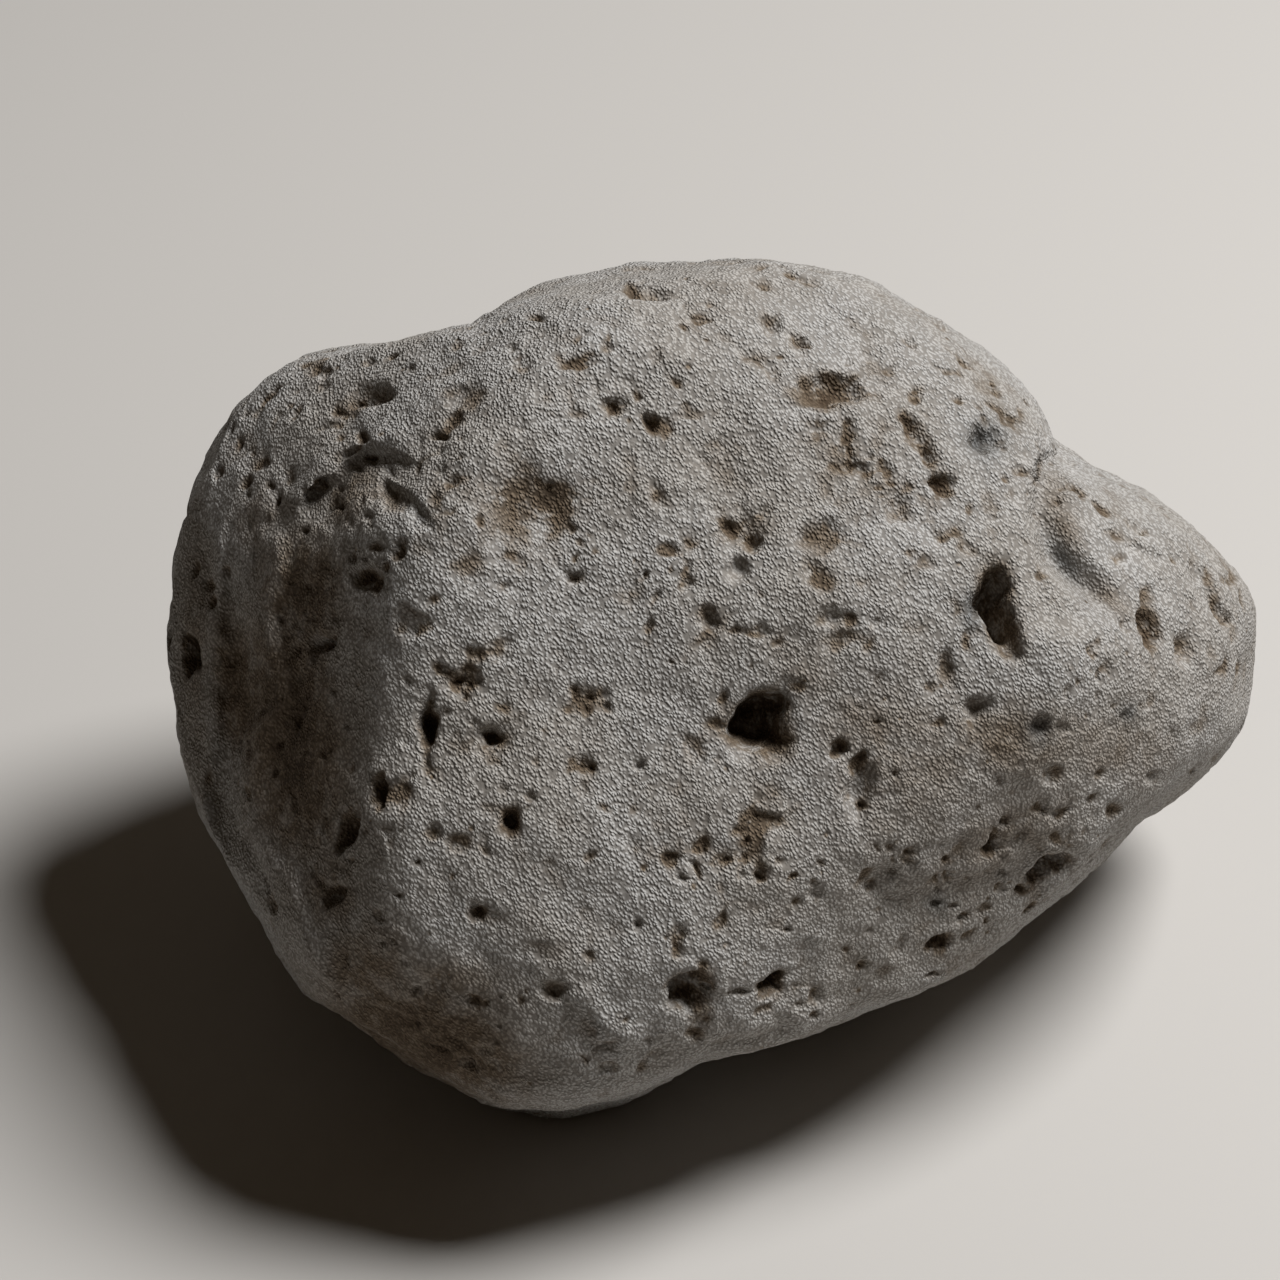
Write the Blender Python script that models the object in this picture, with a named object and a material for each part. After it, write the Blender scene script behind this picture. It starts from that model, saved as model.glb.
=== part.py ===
"""A hand-sized pumice stone, one solid piece worn round by rolling.

The stone is laid out on its face plane: across runs to the right and up runs upwards over the plane, and
near comes out of it towards a raised eye in front of the stone. Those lengths are in millimetres. The
finished form is then stood on the floor in metres, with +Z up, and rests on one worn flat.
"""

import math
import random

import bmesh
import bpy
import numpy as np
from mathutils import Matrix, Vector, noise

MM = 0.001

# The raised eye that the stone's face is turned to, and where the face plane's origin stands over the floor
EYE_ELEVATION = math.radians(38.0)
EYE_DISTANCE = 295.0
MIDDLE_HEIGHT = 31.6
BOX_MIDDLE = (6.75, -2.21)

# Bare form: its middle on the face plane, how far it comes out in front of the plane and behind it, and how
# full its shoulders are there, between 0 for a slab and 2 for a cone
MIDDLE = (3.5, -3.5)
FRONT_DEPTH = 34.0
BACK_DEPTH = 33.0
FRONT_FULLNESS = 0.52
BACK_FULLNESS = 0.85

# The nose leans back and the foot leans out, each by a depth that grows between two places
NOSE_LEAN = 12.0
NOSE_SPAN = (16.0, 52.0)
FOOT_LEAN = 6.0
FOOT_SPAN = (0.0, -38.0)

# The outline is sharp only near the rim: how far it is evened out there and over the body, in degrees, and
# where one turns into the other, as a share of the way out from the middle. Evening out looks this many
# spreads to either side
RIM_SPREAD = 1.2
RIM_ALLOWANCE = 0.3
BODY_SPREAD = 16.0
FRONT_RIM_FROM = 0.80
BACK_RIM_FROM = 0.95
RIM_FULL_FROM = 0.995
BODY_FULL_FROM = 0.75
OUTLINE_STEP = 0.25
SPREADS_SEEN = 2.5

# The face's hollows fade away between these depths behind the rim, as shares of the way back
FACE_FADE = (-0.16, 0.02)

# How fine the form is shaped, how many triangles the finished solid keeps, and what counts as on the flat
SPHERE_STEPS = 7
KEPT_TRIANGLES = 9300
FLAT_SNAP = 0.15

# The stone's outline on the face plane, as (across, up)
OUTLINE = (
    (7.9, 31.3), (13.3, 30.9), (18.4, 29.6), (22.8, 27.2), (28.6, 23.8), (32.0, 20.8), (33.8, 17.8),
    (34.3, 15.8), (37.4, 14.2), (42.3, 12.0), (46.7, 8.9), (49.6, 5.2), (50.8, 2.3), (50.7, -2.1),
    (49.6, -7.1), (46.5, -11.0), (40.7, -15.4), (36.9, -19.3), (31.5, -23.8), (25.7, -27.7),
    (18.3, -30.3), (11.6, -33.2), (5.0, -34.6), (0.0, -37.3), (-5.4, -38.6), (-11.6, -38.4),
    (-16.6, -35.9), (-22.4, -32.5), (-27.6, -29.1), (-30.9, -23.4), (-34.2, -18.4), (-36.9, -12.5),
    (-38.5, -5.0), (-39.2, 0.0), (-38.5, 5.8), (-36.2, 12.9), (-33.2, 19.1), (-28.2, 22.7),
    (-21.6, 24.5), (-13.9, 25.6), (-10.8, 27.6), (-4.2, 29.4), (1.7, 30.5),
)

# Worn facets: a point (across, up, near), near's slope along across and along up, and the edge's softness
FACETS = (
    # main face
    ((0.0, 0.0, 25.0), 0.03, 0.03, 2.0),
    # left flank, below and above
    ((-22.6, -5.0, 22.4), 1.40, -0.12, 2.4),
    ((-24.0, 8.0, 22.0), 1.38, -0.24, 2.4),
    # lower left
    ((-18.6, -28.8, 23.2), 0.90, 1.18, 2.2),
    # upper left shoulder
    ((-20.0, 16.0, 16.9), 1.06, -1.04, 2.0),
    # top, facing the sky
    ((10.0, 18.0, 24.2), -0.30, -0.85, 3.0),
    # upper right
    ((24.0, 14.0, 24.0), -0.75, -0.55, 3.0),
    # lower right
    ((27.0, -13.0, 22.0), -0.60, 0.80, 2.5),
    # nose
    ((40.0, 2.0, 19.0), -0.12, -0.12, 1.5),
)

# Broad swellings and hollows of the face: across, up, half-length, half-width, turn, height
SWELLS = (
    (-9.5, 11.0, 6.0, 5.0, 70.0, -0.4),
    (-17.5, 7.5, 8.0, 7.0, 0.0, 0.6),
    (15.0, 3.0, 12.0, 9.0, 0.0, 1.9),
    (8.0, -33.0, 12.0, 10.0, 0.0, 2.4),
    (-9.0, -17.0, 9.0, 9.0, 0.0, 1.3),
    (37.0, -2.2, 8.0, 4.2, 0.0, 1.4),
    (-34.0, 4.0, 8.0, 2.6, 95.0, 1.0),
    (-20.0, -16.0, 5.0, 3.0, 90.0, 0.6),
)

# Ledges, grooves and ridges: their points, depth (below zero for a ridge), and reach to the left and the
# right of the way that the points run
SEAMS = (
    # the body stands in front of the nose
    (((36.0, 17.5), (33.2, 13.5), (33.2, 10.0), (34.2, 7.2), (36.2, 4.6), (39.6, 1.4)),
     2.3, 2.7, 0.9),
    # long flute down the left flank, and the valley beside it
    (((-32.4, 14.4), (-30.3, 7.8), (-31.6, 1.5), (-30.3, -2.3), (-30.5, -5.1), (-31.9, -8.9),
      (-32.4, -12.7), (-31.9, -16.3), (-29.3, -20.3), (-28.3, -24.2), (-27.3, -26.6), (-25.2, -30.0),
      (-20.7, -32.3)), -1.2, 1.8, 1.6),
    (((-34.4, 8.0), (-34.2, 1.5), (-33.2, -2.3), (-33.4, -7.1), (-35.2, -12.7), (-33.9, -18.3)),
     1.8, 2.4, 2.2),
    (((-34.7, 11.6), (-35.4, 6.6), (-34.9, 1.7)), -0.6, 1.1, 1.1),
    # crag at the upper left corner, hollow under its rim
    (((-28.6, 9.8), (-26.9, 12.2), (-24.7, 14.1), (-22.4, 15.2), (-20.2, 15.1), (-18.6, 13.8)),
     1.6, 0.9, 3.6),
    (((-22.2, 13.6), (-20.6, 12.6), (-18.7, 11.2), (-16.9, 9.2)), 0.7, 0.7, 2.0),
    (((-29.6, 10.6), (-27.2, 13.9), (-25.6, 15.6), (-22.4, 16.8), (-18.9, 16.9)), -0.7, 1.5, 1.0),
    # nose: a small ledge, and the crease before its tip
    (((40.7, 8.5), (42.0, 7.4), (43.6, 6.3)), 0.5, 0.6, 1.4),
    (((45.9, 6.6), (47.3, 3.2), (49.4, 0.8)), 1.1, 1.3, 1.0),
    # ledges low on the right
    (((17.4, -22.4), (24.0, -20.6), (31.0, -19.6), (38.2, -17.4)), 0.6, 1.5, 4.0),
    (((18.5, -21.1), (20.1, -19.1), (21.3, -18.8)), 0.8, 0.8, 2.0),
    (((4.3, -34.0), (9.0, -32.8), (13.7, -31.2)), 0.9, 0.8, 2.4),
    # small ridges at the foot and below the nose's step
    (((-5.8, -28.2), (-3.2, -31.6), (0.0, -34.9)), -0.5, 2.4, 2.4),
    (((30.3, 0.0), (35.5, -0.2), (40.7, -0.8)), -0.5, 2.2, 2.6),
)

# Gas holes with steep walls: across, up, length, width, turn of the length, depth, and the bearing that the
# deepest part lies towards, where it isn't the middle
HOLES = (
    (9.9, -6.8, 5.8, 4.6, 30.0, 4.4, 150.0),
    (29.7, 3.2, 6.0, 3.6, 98.0, 4.0, None),
    (-12.2, -8.1, 2.0, 1.6, 10.0, 1.2, None),
    (-17.8, -7.1, 3.8, 1.5, 88.0, 2.0, None),
    (-21.6, -12.7, 2.5, 1.4, 80.0, 1.2, None),
    (-24.3, -15.8, 4.0, 1.6, 68.0, 1.8, None),
    (-25.5, -21.3, 2.3, 1.4, 70.0, 1.2, None),
    (-26.6, -0.2, 2.6, 1.4, 15.0, 1.4, None),
    (-37.4, -1.2, 3.4, 1.6, 90.0, 1.8, None),
    (-11.0, -14.9, 1.5, 1.3, 90.0, 1.0, None),
    (4.2, -29.5, 4.0, 3.4, 50.0, 2.2, 160.0),
    (11.1, -28.7, 2.7, 1.6, 20.0, 1.7, None),
    (18.0, -10.2, 2.2, 1.5, 80.0, 0.9, None),
    (16.5, -9.0, 1.6, 1.4, 90.0, 1.0, None),
    (1.0, 18.2, 1.8, 1.4, 90.0, 0.9, None),
    (15.9, 21.0, 5.6, 3.1, -8.0, 1.5, None),
    (22.5, 18.1, 2.2, 1.4, 120.0, 0.5, None),
    (23.9, 15.4, 2.4, 1.1, 110.0, 0.6, None),
    (25.1, 13.1, 2.3, 1.6, 150.0, 0.9, None),
    (42.2, 1.2, 3.4, 1.8, 110.0, 1.6, None),
    (34.0, -18.8, 4.0, 1.7, 40.0, 1.7, None),
    (29.3, -17.3, 2.4, 1.4, 55.0, 1.2, None),
    (24.9, -25.2, 2.2, 1.3, 10.0, 1.0, None),
)

# Shallow hollows with soft walls, as across, up, length, width, turn and depth
DIMPLES = (
    (-10.0, 10.8, 10.4, 9.0, 70.0, 1.0),
    (-7.0, 11.4, 5.0, 3.6, 80.0, 0.4),
    (28.0, -5.6, 3.4, 2.8, 20.0, 1.0),
    (33.2, -7.2, 3.0, 2.2, 30.0, 0.8),
    (23.3, 16.6, 5.2, 2.4, 120.0, 0.5),
    (28.8, 16.8, 3.3, 3.0, 0.0, 1.5),
    (18.4, -12.6, 6.4, 3.0, 85.0, 1.1),
    (5.8, 1.8, 3.0, 2.0, 100.0, 0.9),
    (-12.2, -8.3, 4.6, 4.0, 20.0, 0.7),
    (-11.0, -15.0, 3.2, 2.8, 90.0, 0.5),
    (11.0, -8.9, 4.0, 3.4, 20.0, 1.0),
    (30.7, 0.2, 4.4, 3.0, 95.0, 1.3),
    (-26.8, 12.6, 3.4, 2.0, 50.0, 0.5),
    (-20.6, 11.8, 4.0, 2.2, -38.0, 0.5),
    (8.6, 9.2, 5.0, 3.6, 10.0, 0.8),
    (8.0, 5.9, 2.2, 2.2, 0.0, 0.8),
    (10.9, 26.2, 2.4, 2.0, 0.0, 1.0),
    (13.4, 24.8, 1.9, 1.6, 0.0, 0.8),
    (0.5, 29.1, 4.6, 1.5, 0.0, 1.0),
    (-2.1, 19.5, 2.6, 2.4, 0.0, 0.6),
    (15.7, 1.9, 2.8, 2.4, 0.0, 0.7),
    (21.3, 11.1, 4.2, 2.6, 90.0, 0.8),
    (14.9, 8.8, 5.2, 3.2, 0.0, 0.8),
    (25.4, -2.4, 3.8, 2.4, 90.0, 0.8),
    (45.4, -0.7, 3.8, 2.4, 90.0, 0.9),
    (-22.4, 20.3, 5.6, 2.2, 20.0, 0.7),
    (-14.6, 20.3, 4.8, 2.2, 0.0, 0.4),
    (-7.2, -29.2, 2.6, 2.5, 0.0, 0.9),
    (-22.7, 5.2, 3.8, 2.6, 0.0, 0.8),
    (-13.5, -22.8, 2.3, 1.8, 90.0, 0.8),
    (-14.9, -3.3, 3.6, 3.2, 0.0, 0.6),
    (-4.6, -5.0, 3.8, 3.4, 0.0, 0.6),
    (-4.7, -10.5, 2.8, 2.6, 0.0, 0.6),
)

# A seam fades in and out over this share of its length. It wanders off its points: the size of the unevenness
# that leads it, and how far that leads it at most
SEAM_FADE = 0.2
SEAM_WANDER = (3.2, 0.7)

# A hole's rim is ragged by waves, as height, count round the rim, and how far each hole turns them
RIM_WAVES = ((0.10, 2.0, 1.0), (0.08, 3.0, 2.3), (0.05, 5.0, 4.1))
RAGGED_STEP = 1.7

# How steep a hole's walls are, how far off its middle a leaning hole is deepest, and how gently a soft
# hollow's walls run out
HOLE_STEEPNESS = 3.0
HOLE_LEAN = 0.4
DIMPLE_SOFTNESS = 1.5

# Holes over the back and the underside, which lie where a seeded draw puts them, as ranges: how far towards
# the back, length, and width as a share of the length. Long ones are rarer, by a power, and the depth is a
# share of the width
BACK_SEED = 41
BACK_HOLES = 64
BACK_HOLE_PLACE = (-1.0, -0.12)
BACK_HOLE_LENGTH = (1.9, 6.4)
BACK_HOLE_RARITY = 2.6
BACK_HOLE_WIDTH = (0.5, 0.9)
BACK_HOLE_DEPTH = 0.45

# Rolling surface of the stone: the size of its swellings and how far they stand out on the face and the back
ROLLS = (
    (15.0, 0.0, 2.2),
    (9.0, 0.55, 0.55),
    (2.6, 0.14, 0.14),
)

# Colour and finish of the bare rock
ROCK_COLOUR = (0.235, 0.205, 0.180, 1.0)
ROCK_ROUGHNESS = 0.95


def clear_objects():
    """Start from a scene with no objects."""
    for item in list(bpy.data.objects):
        bpy.data.objects.remove(item, do_unlink=True)


def smooth_step(low, high, value):
    """0 below low, 1 above high, and an S between them. It also runs downwards, from high to low."""
    share = np.clip((value - low) / (high - low), 0.0, 1.0)
    return share * share * (3.0 - 2.0 * share)


def turned(across, up, degrees):
    """Places on the face plane, measured along a turned length and the width across it."""
    angle = math.radians(degrees)
    along = across * math.cos(angle) + up * math.sin(angle)
    beside = up * math.cos(angle) - across * math.sin(angle)
    return along, beside


def outline_reach(bearing, spread):
    """How far the outline lies from the middle at each bearing, evened out over a spread in degrees."""
    offsets = np.array(OUTLINE) - np.array(MIDDLE)
    bearings = np.arctan2(offsets[:, 1], offsets[:, 0])
    reaches = np.hypot(offsets[:, 0], offsets[:, 1])
    order = np.argsort(bearings)
    turn = np.radians(np.arange(-180.0, 180.0, OUTLINE_STEP))
    rough = np.interp(turn, bearings[order], reaches[order], period=2 * math.pi)
    widest = round(SPREADS_SEEN * spread / OUTLINE_STEP)
    steps = np.arange(-widest, widest + 1)
    weights = np.exp(-((steps * OUTLINE_STEP / spread) ** 2))
    even = sum(weight * np.roll(rough, step) for step, weight in zip(steps, weights)) / weights.sum()
    return np.interp(bearing, turn, even, period=2 * math.pi)


def bare_form(directions):
    """Across, up and near of the stone's bare form, for unit directions from its middle."""
    out = np.hypot(directions[:, 0], directions[:, 1])
    bearing = np.arctan2(directions[:, 1], directions[:, 0])
    in_front = directions[:, 2] > 0.0
    rim = outline_reach(bearing, RIM_SPREAD) + RIM_ALLOWANCE
    broad = outline_reach(bearing, BODY_SPREAD)
    rim_from = np.where(in_front, FRONT_RIM_FROM, BACK_RIM_FROM)
    reach = broad + (rim - broad) * smooth_step(rim_from, RIM_FULL_FROM, out)
    reach = broad.mean() + (reach - broad.mean()) * smooth_step(0.0, BODY_FULL_FROM, out)
    across = MIDDLE[0] + reach * out * np.cos(bearing)
    up = MIDDLE[1] + reach * out * np.sin(bearing)
    height = np.abs(directions[:, 2])
    front = FRONT_DEPTH * height ** FRONT_FULLNESS
    back = -BACK_DEPTH * height ** BACK_FULLNESS
    near = np.where(in_front, front, back)
    near -= NOSE_LEAN * smooth_step(*NOSE_SPAN, across)
    near += FOOT_LEAN * smooth_step(*FOOT_SPAN, up)
    return across, up, near


def wear_facets(across, up, near):
    """Near, worn down softly to each facet that lies below it."""
    for (at_across, at_up, at_near), along_across, along_up, soft in FACETS:
        facet = at_near + along_across * (across - at_across) + along_up * (up - at_up)
        near = -soft * np.logaddexp(-near / soft, -facet / soft)
    return near


def swell(across, up):
    """How far the broad swellings and hollows raise the face."""
    raised = np.zeros_like(across)
    for at_across, at_up, length, width, turn, height in SWELLS:
        along, beside = turned(across - at_across, up - at_up, turn)
        raised += height * np.exp(-((along / length) ** 2) - (beside / width) ** 2)
    return raised


def wandered(across, up):
    """Places on the face plane, shifted to and fro, so that a seam drawn there wanders."""
    size, shift = SEAM_WANDER
    spots = np.column_stack([across, up, np.zeros_like(across)]) / size
    shifts = shift * np.array([noise.noise_vector(Vector(spot)) for spot in spots])
    return across + shifts[:, 0], up + shifts[:, 1]


def seam_depth(across, up, points, depth, left_reach, right_reach):
    """How deep one ledge, groove or ridge cuts at each place, fading to nothing at its ends."""
    nearest = np.full(across.shape, np.inf)
    side = np.zeros_like(across)
    travelled = np.zeros_like(across)
    length = 0.0
    for (x0, y0), (x1, y1) in zip(points, points[1:]):
        run = math.hypot(x1 - x0, y1 - y0)
        along = np.clip(((across - x0) * (x1 - x0) + (up - y0) * (y1 - y0)) / run ** 2, 0.0, 1.0)
        off_across = across - x0 - along * (x1 - x0)
        off_up = up - y0 - along * (y1 - y0)
        distance = np.hypot(off_across, off_up)
        closer = distance < nearest
        nearest = np.where(closer, distance, nearest)
        side = np.where(closer, (x1 - x0) * off_up - (y1 - y0) * off_across, side)
        travelled = np.where(closer, length + along * run, travelled)
        length += run
    reach = np.where(side > 0.0, left_reach, right_reach)
    travelled /= length
    ends = smooth_step(0.0, SEAM_FADE, travelled) * smooth_step(1.0, 1.0 - SEAM_FADE, travelled)
    return depth * ends * smooth_step(1.0, 0.0, nearest / reach)


def hole_share(along, beside, ragged):
    """0 in the middle of an oval hole and 1 at its ragged rim, for places in half-lengths and half-widths."""
    bearing = np.arctan2(beside, along)
    rim = np.ones_like(along)
    for height, count, shift in RIM_WAVES:
        rim += height * np.sin(count * bearing + shift * ragged)
    return np.hypot(along, beside) / rim


def leaning_share(along, beside, share, lean_along, lean_beside):
    """The same share, for a hole whose deepest part lies off its middle."""
    scale = np.where(share > 0.0, share / np.maximum(np.hypot(along, beside), 1e-9), 1.0)
    off_along = along * scale - lean_along
    off_beside = beside * scale - lean_beside
    slack = 1.0 - lean_along ** 2 - lean_beside ** 2
    dot = off_along * lean_along + off_beside * lean_beside
    return (dot + np.sqrt(dot ** 2 + slack * (off_along ** 2 + off_beside ** 2))) / slack


def hole_level(across, up, hole, ragged):
    """How deep a steep hole is at each place, as a share of its depth."""
    _, _, length, width, turn, _, lean = hole
    along, beside = turned(across, up, turn)
    along = along / (length / 2)
    beside = beside / (width / 2)
    share = hole_share(along, beside, ragged)
    if lean is not None:
        angle = math.radians(lean - turn)
        share = leaning_share(along, beside, share, HOLE_LEAN * math.cos(angle), HOLE_LEAN * math.sin(angle))
    return np.clip(1.0 - share ** HOLE_STEEPNESS, 0.0, None)


def dimple_level(across, up, dimple, ragged):
    """How deep a soft hollow is at each place, as a share of its depth."""
    _, _, length, width, turn, _ = dimple
    along, beside = turned(across, up, turn)
    share = hole_share(along / (length / 2), beside / (width / 2), ragged)
    return np.clip(1.0 - share ** 2, 0.0, None) ** DIMPLE_SOFTNESS


def sink(places, normals, level, depth):
    """Push places in along the mean normal of the patch that a hole covers."""
    covered = level > 0.0
    if covered.any():
        inward = -(normals[covered] * level[covered, None]).sum(axis=0)
        places += depth * level[:, None] * inward / np.linalg.norm(inward)


def front_hollows(places, normals, across, up, facing):
    """Sink the holes and the soft hollows of the face."""
    for index, hole in enumerate(HOLES):
        level = facing * hole_level(across - hole[0], up - hole[1], hole, RAGGED_STEP * index)
        sink(places, normals, level, hole[5])
    for index, dimple in enumerate(DIMPLES):
        level = facing * dimple_level(across - dimple[0], up - dimple[1], dimple, RAGGED_STEP * index)
        sink(places, normals, level, dimple[5])


def back_hollows(places, normals, directions):
    """Sink the holes that a seeded draw puts over the back and the underside."""
    draw = random.Random(BACK_SEED)
    shortest, longest = BACK_HOLE_LENGTH
    for index in range(BACK_HOLES):
        height = draw.uniform(*BACK_HOLE_PLACE)
        bearing = draw.uniform(-math.pi, math.pi)
        length = shortest + (longest - shortest) * draw.random() ** BACK_HOLE_RARITY
        width = length * draw.uniform(*BACK_HOLE_WIDTH)
        turn = draw.uniform(0.0, 180.0)
        out = math.sqrt(1.0 - height ** 2)
        aim = np.array((out * math.cos(bearing), out * math.sin(bearing), height))
        centre = int(np.argmax(directions @ aim))
        normal = normals[centre]
        side = np.cross(normal, (0.0, 0.0, 1.0))
        side /= np.linalg.norm(side)
        offsets = places - places[centre]
        close = np.linalg.norm(offsets, axis=1) < length
        hole = (0.0, 0.0, length, width, turn, 0.0, None)
        other_side = np.cross(normal, side)
        level = close * hole_level(offsets @ side, offsets @ other_side, hole, RAGGED_STEP * index)
        sink(places, normals, level, BACK_HOLE_DEPTH * width)


def rolling(places, normals, facing):
    """Raise and lower the surface by wide swellings, lumps and grit."""
    heights = np.zeros(len(places))
    for size, on_face, on_back in ROLLS:
        rise = np.array([noise.noise(Vector(place)) for place in places / size])
        heights += (on_back + (on_face - on_back) * facing) * rise
    places += heights[:, None] * normals


def shape_stone(form):
    """Shape a unit sphere into the stone, in millimetres across, up and near.

    The outline, facets and holes are given where the eye sees them on the face plane, so each place is then
    drawn in or spread out by its distance from the eye.
    """
    directions = np.array([vertex.co for vertex in form.verts])
    directions /= np.linalg.norm(directions, axis=1)[:, None]
    across, up, near = bare_form(directions)
    near = wear_facets(across, up, near)
    facing = smooth_step(*FACE_FADE, directions[:, 2])
    near += facing * swell(across, up)
    seam_across, seam_up = wandered(across, up)
    for points, depth, left_reach, right_reach in SEAMS:
        near -= facing * seam_depth(seam_across, seam_up, points, depth, left_reach, right_reach)
    shrink = (EYE_DISTANCE - near) / EYE_DISTANCE
    places = np.column_stack([across * shrink, up * shrink, near])
    normals = set_places(form, places)
    front_hollows(places, normals, across, up, facing)
    back_hollows(places, normals, directions)
    rolling(places, normals, facing)
    set_places(form, places)


def set_places(form, places):
    """Put the form's vertices in place, and return their normals."""
    for vertex, place in zip(form.verts, places):
        vertex.co = place
    form.normal_update()
    return np.array([vertex.normal for vertex in form.verts])


def stand_matrix():
    """From across, up and near in millimetres to the floor's frame in metres."""
    sine = math.sin(EYE_ELEVATION)
    cosine = math.cos(EYE_ELEVATION)
    lay = Matrix(((1.0, 0.0, 0.0, -BOX_MIDDLE[0]),
                  (0.0, sine, -cosine, -BOX_MIDDLE[1]),
                  (0.0, cosine, sine, MIDDLE_HEIGHT),
                  (0.0, 0.0, 0.0, 1.0)))
    return Matrix.Diagonal((MM, MM, MM, 1.0)) @ lay


def thin_out(mesh):
    """The same form with fewer triangles, most of them where it bends most."""
    stand_in = bpy.data.objects.new("fine_form", mesh)
    bpy.context.collection.objects.link(stand_in)
    thinner = stand_in.modifiers.new("Thin out", 'DECIMATE')
    thinner.ratio = KEPT_TRIANGLES / len(mesh.polygons)
    depsgraph = bpy.context.evaluated_depsgraph_get()
    thinned = bpy.data.meshes.new_from_object(stand_in.evaluated_get(depsgraph))
    bpy.data.objects.remove(stand_in, do_unlink=True)
    return thinned


def press_flat(vertices, reach):
    """Bring whatever lies below the floor, or within reach above it, to floor height."""
    for vertex in vertices:
        if vertex.co.z < reach * MM:
            vertex.co.z = 0.0


def rock_material():
    """Pale, warm grey rock without shine."""
    material = bpy.data.materials.new("pumice_rock")
    material.use_nodes = True
    shader = material.node_tree.nodes["Principled BSDF"]
    shader.inputs["Base Color"].default_value = ROCK_COLOUR
    shader.inputs["Roughness"].default_value = ROCK_ROUGHNESS
    shader.inputs["Metallic"].default_value = 0.0
    return material


def build_stone():
    """The whole stone, as one closed solid."""
    form = bmesh.new()
    bmesh.ops.create_icosphere(form, subdivisions=SPHERE_STEPS, radius=1.0)
    shape_stone(form)
    form.transform(stand_matrix())
    press_flat(form.verts, 0.0)
    fine = bpy.data.meshes.new("fine_form")
    form.to_mesh(fine)
    form.free()
    mesh = thin_out(fine)
    press_flat(mesh.vertices, FLAT_SNAP)
    mesh.name = "pumice"
    mesh.materials.append(rock_material())
    stone = bpy.data.objects.new("pumice", mesh)
    bpy.context.collection.objects.link(stone)


clear_objects()
build_stone()
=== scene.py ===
"""Looks of a hand-sized pumice stone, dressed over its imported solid.

The stone is shaped as its solid is, from the same driving dimensions, with the smaller gas holes, rough spots
and grain that the solid leaves out. Lengths on the face plane are in millimetres: across runs to the right,
up runs upwards over the plane, and near comes out of it towards the raised eye.
"""

import math
import random

import bmesh
import bpy
import numpy as np
from bpy.props import FloatProperty, FloatVectorProperty, IntProperty, PointerProperty
from mathutils import Matrix, Vector, kdtree, noise


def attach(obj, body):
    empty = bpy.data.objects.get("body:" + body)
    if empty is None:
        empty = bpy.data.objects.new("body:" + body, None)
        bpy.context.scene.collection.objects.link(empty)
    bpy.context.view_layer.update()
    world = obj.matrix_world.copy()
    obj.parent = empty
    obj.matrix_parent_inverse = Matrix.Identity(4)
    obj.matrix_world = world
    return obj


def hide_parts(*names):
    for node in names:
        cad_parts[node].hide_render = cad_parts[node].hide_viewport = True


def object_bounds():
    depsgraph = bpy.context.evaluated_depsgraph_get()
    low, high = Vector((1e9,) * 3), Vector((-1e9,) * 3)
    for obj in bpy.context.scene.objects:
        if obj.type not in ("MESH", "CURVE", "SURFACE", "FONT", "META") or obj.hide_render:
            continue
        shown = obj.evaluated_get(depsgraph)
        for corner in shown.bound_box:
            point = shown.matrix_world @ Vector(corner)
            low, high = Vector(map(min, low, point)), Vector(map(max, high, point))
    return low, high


bl_info = {
    "name": "Pumice stone",
    "version": (1, 0, 0),
    "blender": (4, 5, 0),
    "location": "3D View > Sidebar > Pumice",
    "description": "Makes a pitted pumice stone and a plain stage for it",
    "category": "Add Mesh",
}

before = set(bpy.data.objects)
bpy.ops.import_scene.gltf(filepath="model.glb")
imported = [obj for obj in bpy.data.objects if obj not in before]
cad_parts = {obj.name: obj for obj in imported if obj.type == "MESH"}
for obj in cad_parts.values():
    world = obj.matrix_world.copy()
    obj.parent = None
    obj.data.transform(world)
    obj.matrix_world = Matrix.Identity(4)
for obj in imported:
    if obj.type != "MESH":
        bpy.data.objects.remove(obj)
CAD_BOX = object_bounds()

MM = 0.001

# The raised eye that the stone's face is turned to, and where the face plane's origin stands over the floor
EYE_ELEVATION = math.radians(38.0)
EYE_DISTANCE = 295.0
MIDDLE_HEIGHT = 31.6
BOX_MIDDLE = (6.75, -2.21)

# The photo's frame on the face plane, and the camera's sensor
FRAME_WIDTH = 106.24
SENSOR_WIDTH = 36.0

# Bare form: its middle on the face plane, how far it comes out in front of the plane and behind it, and how
# full its shoulders are there, between 0 for a slab and 2 for a cone
MIDDLE = (3.5, -3.5)
FRONT_DEPTH = 34.0
BACK_DEPTH = 33.0
FRONT_FULLNESS = 0.52
BACK_FULLNESS = 0.85

# The nose leans back and the foot leans out, each by a depth that grows between two places
NOSE_LEAN = 12.0
NOSE_SPAN = (16.0, 52.0)
FOOT_LEAN = 6.0
FOOT_SPAN = (0.0, -38.0)

# The outline is sharp only near the rim: how far it is evened out there and over the body, in degrees, and
# where one turns into the other, as a share of the way out from the middle. Evening out looks this many
# spreads to either side
RIM_SPREAD = 1.2
RIM_ALLOWANCE = 0.3
BODY_SPREAD = 16.0
FRONT_RIM_FROM = 0.80
BACK_RIM_FROM = 0.95
RIM_FULL_FROM = 0.995
BODY_FULL_FROM = 0.75
OUTLINE_STEP = 0.25
SPREADS_SEEN = 2.5

# The face's hollows fade away between these depths behind the rim, as shares of the way back
FACE_FADE = (-0.16, 0.02)

# How fine the form is shaped, how far its vertices are drawn towards the face, how many triangles the
# finished stone keeps, and what counts as on the flat
SPHERE_STEPS = 8
DRAWN_TO_FACE = 0.4
KEPT_TRIANGLES = 198000
FLAT_SNAP = 0.04

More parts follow.
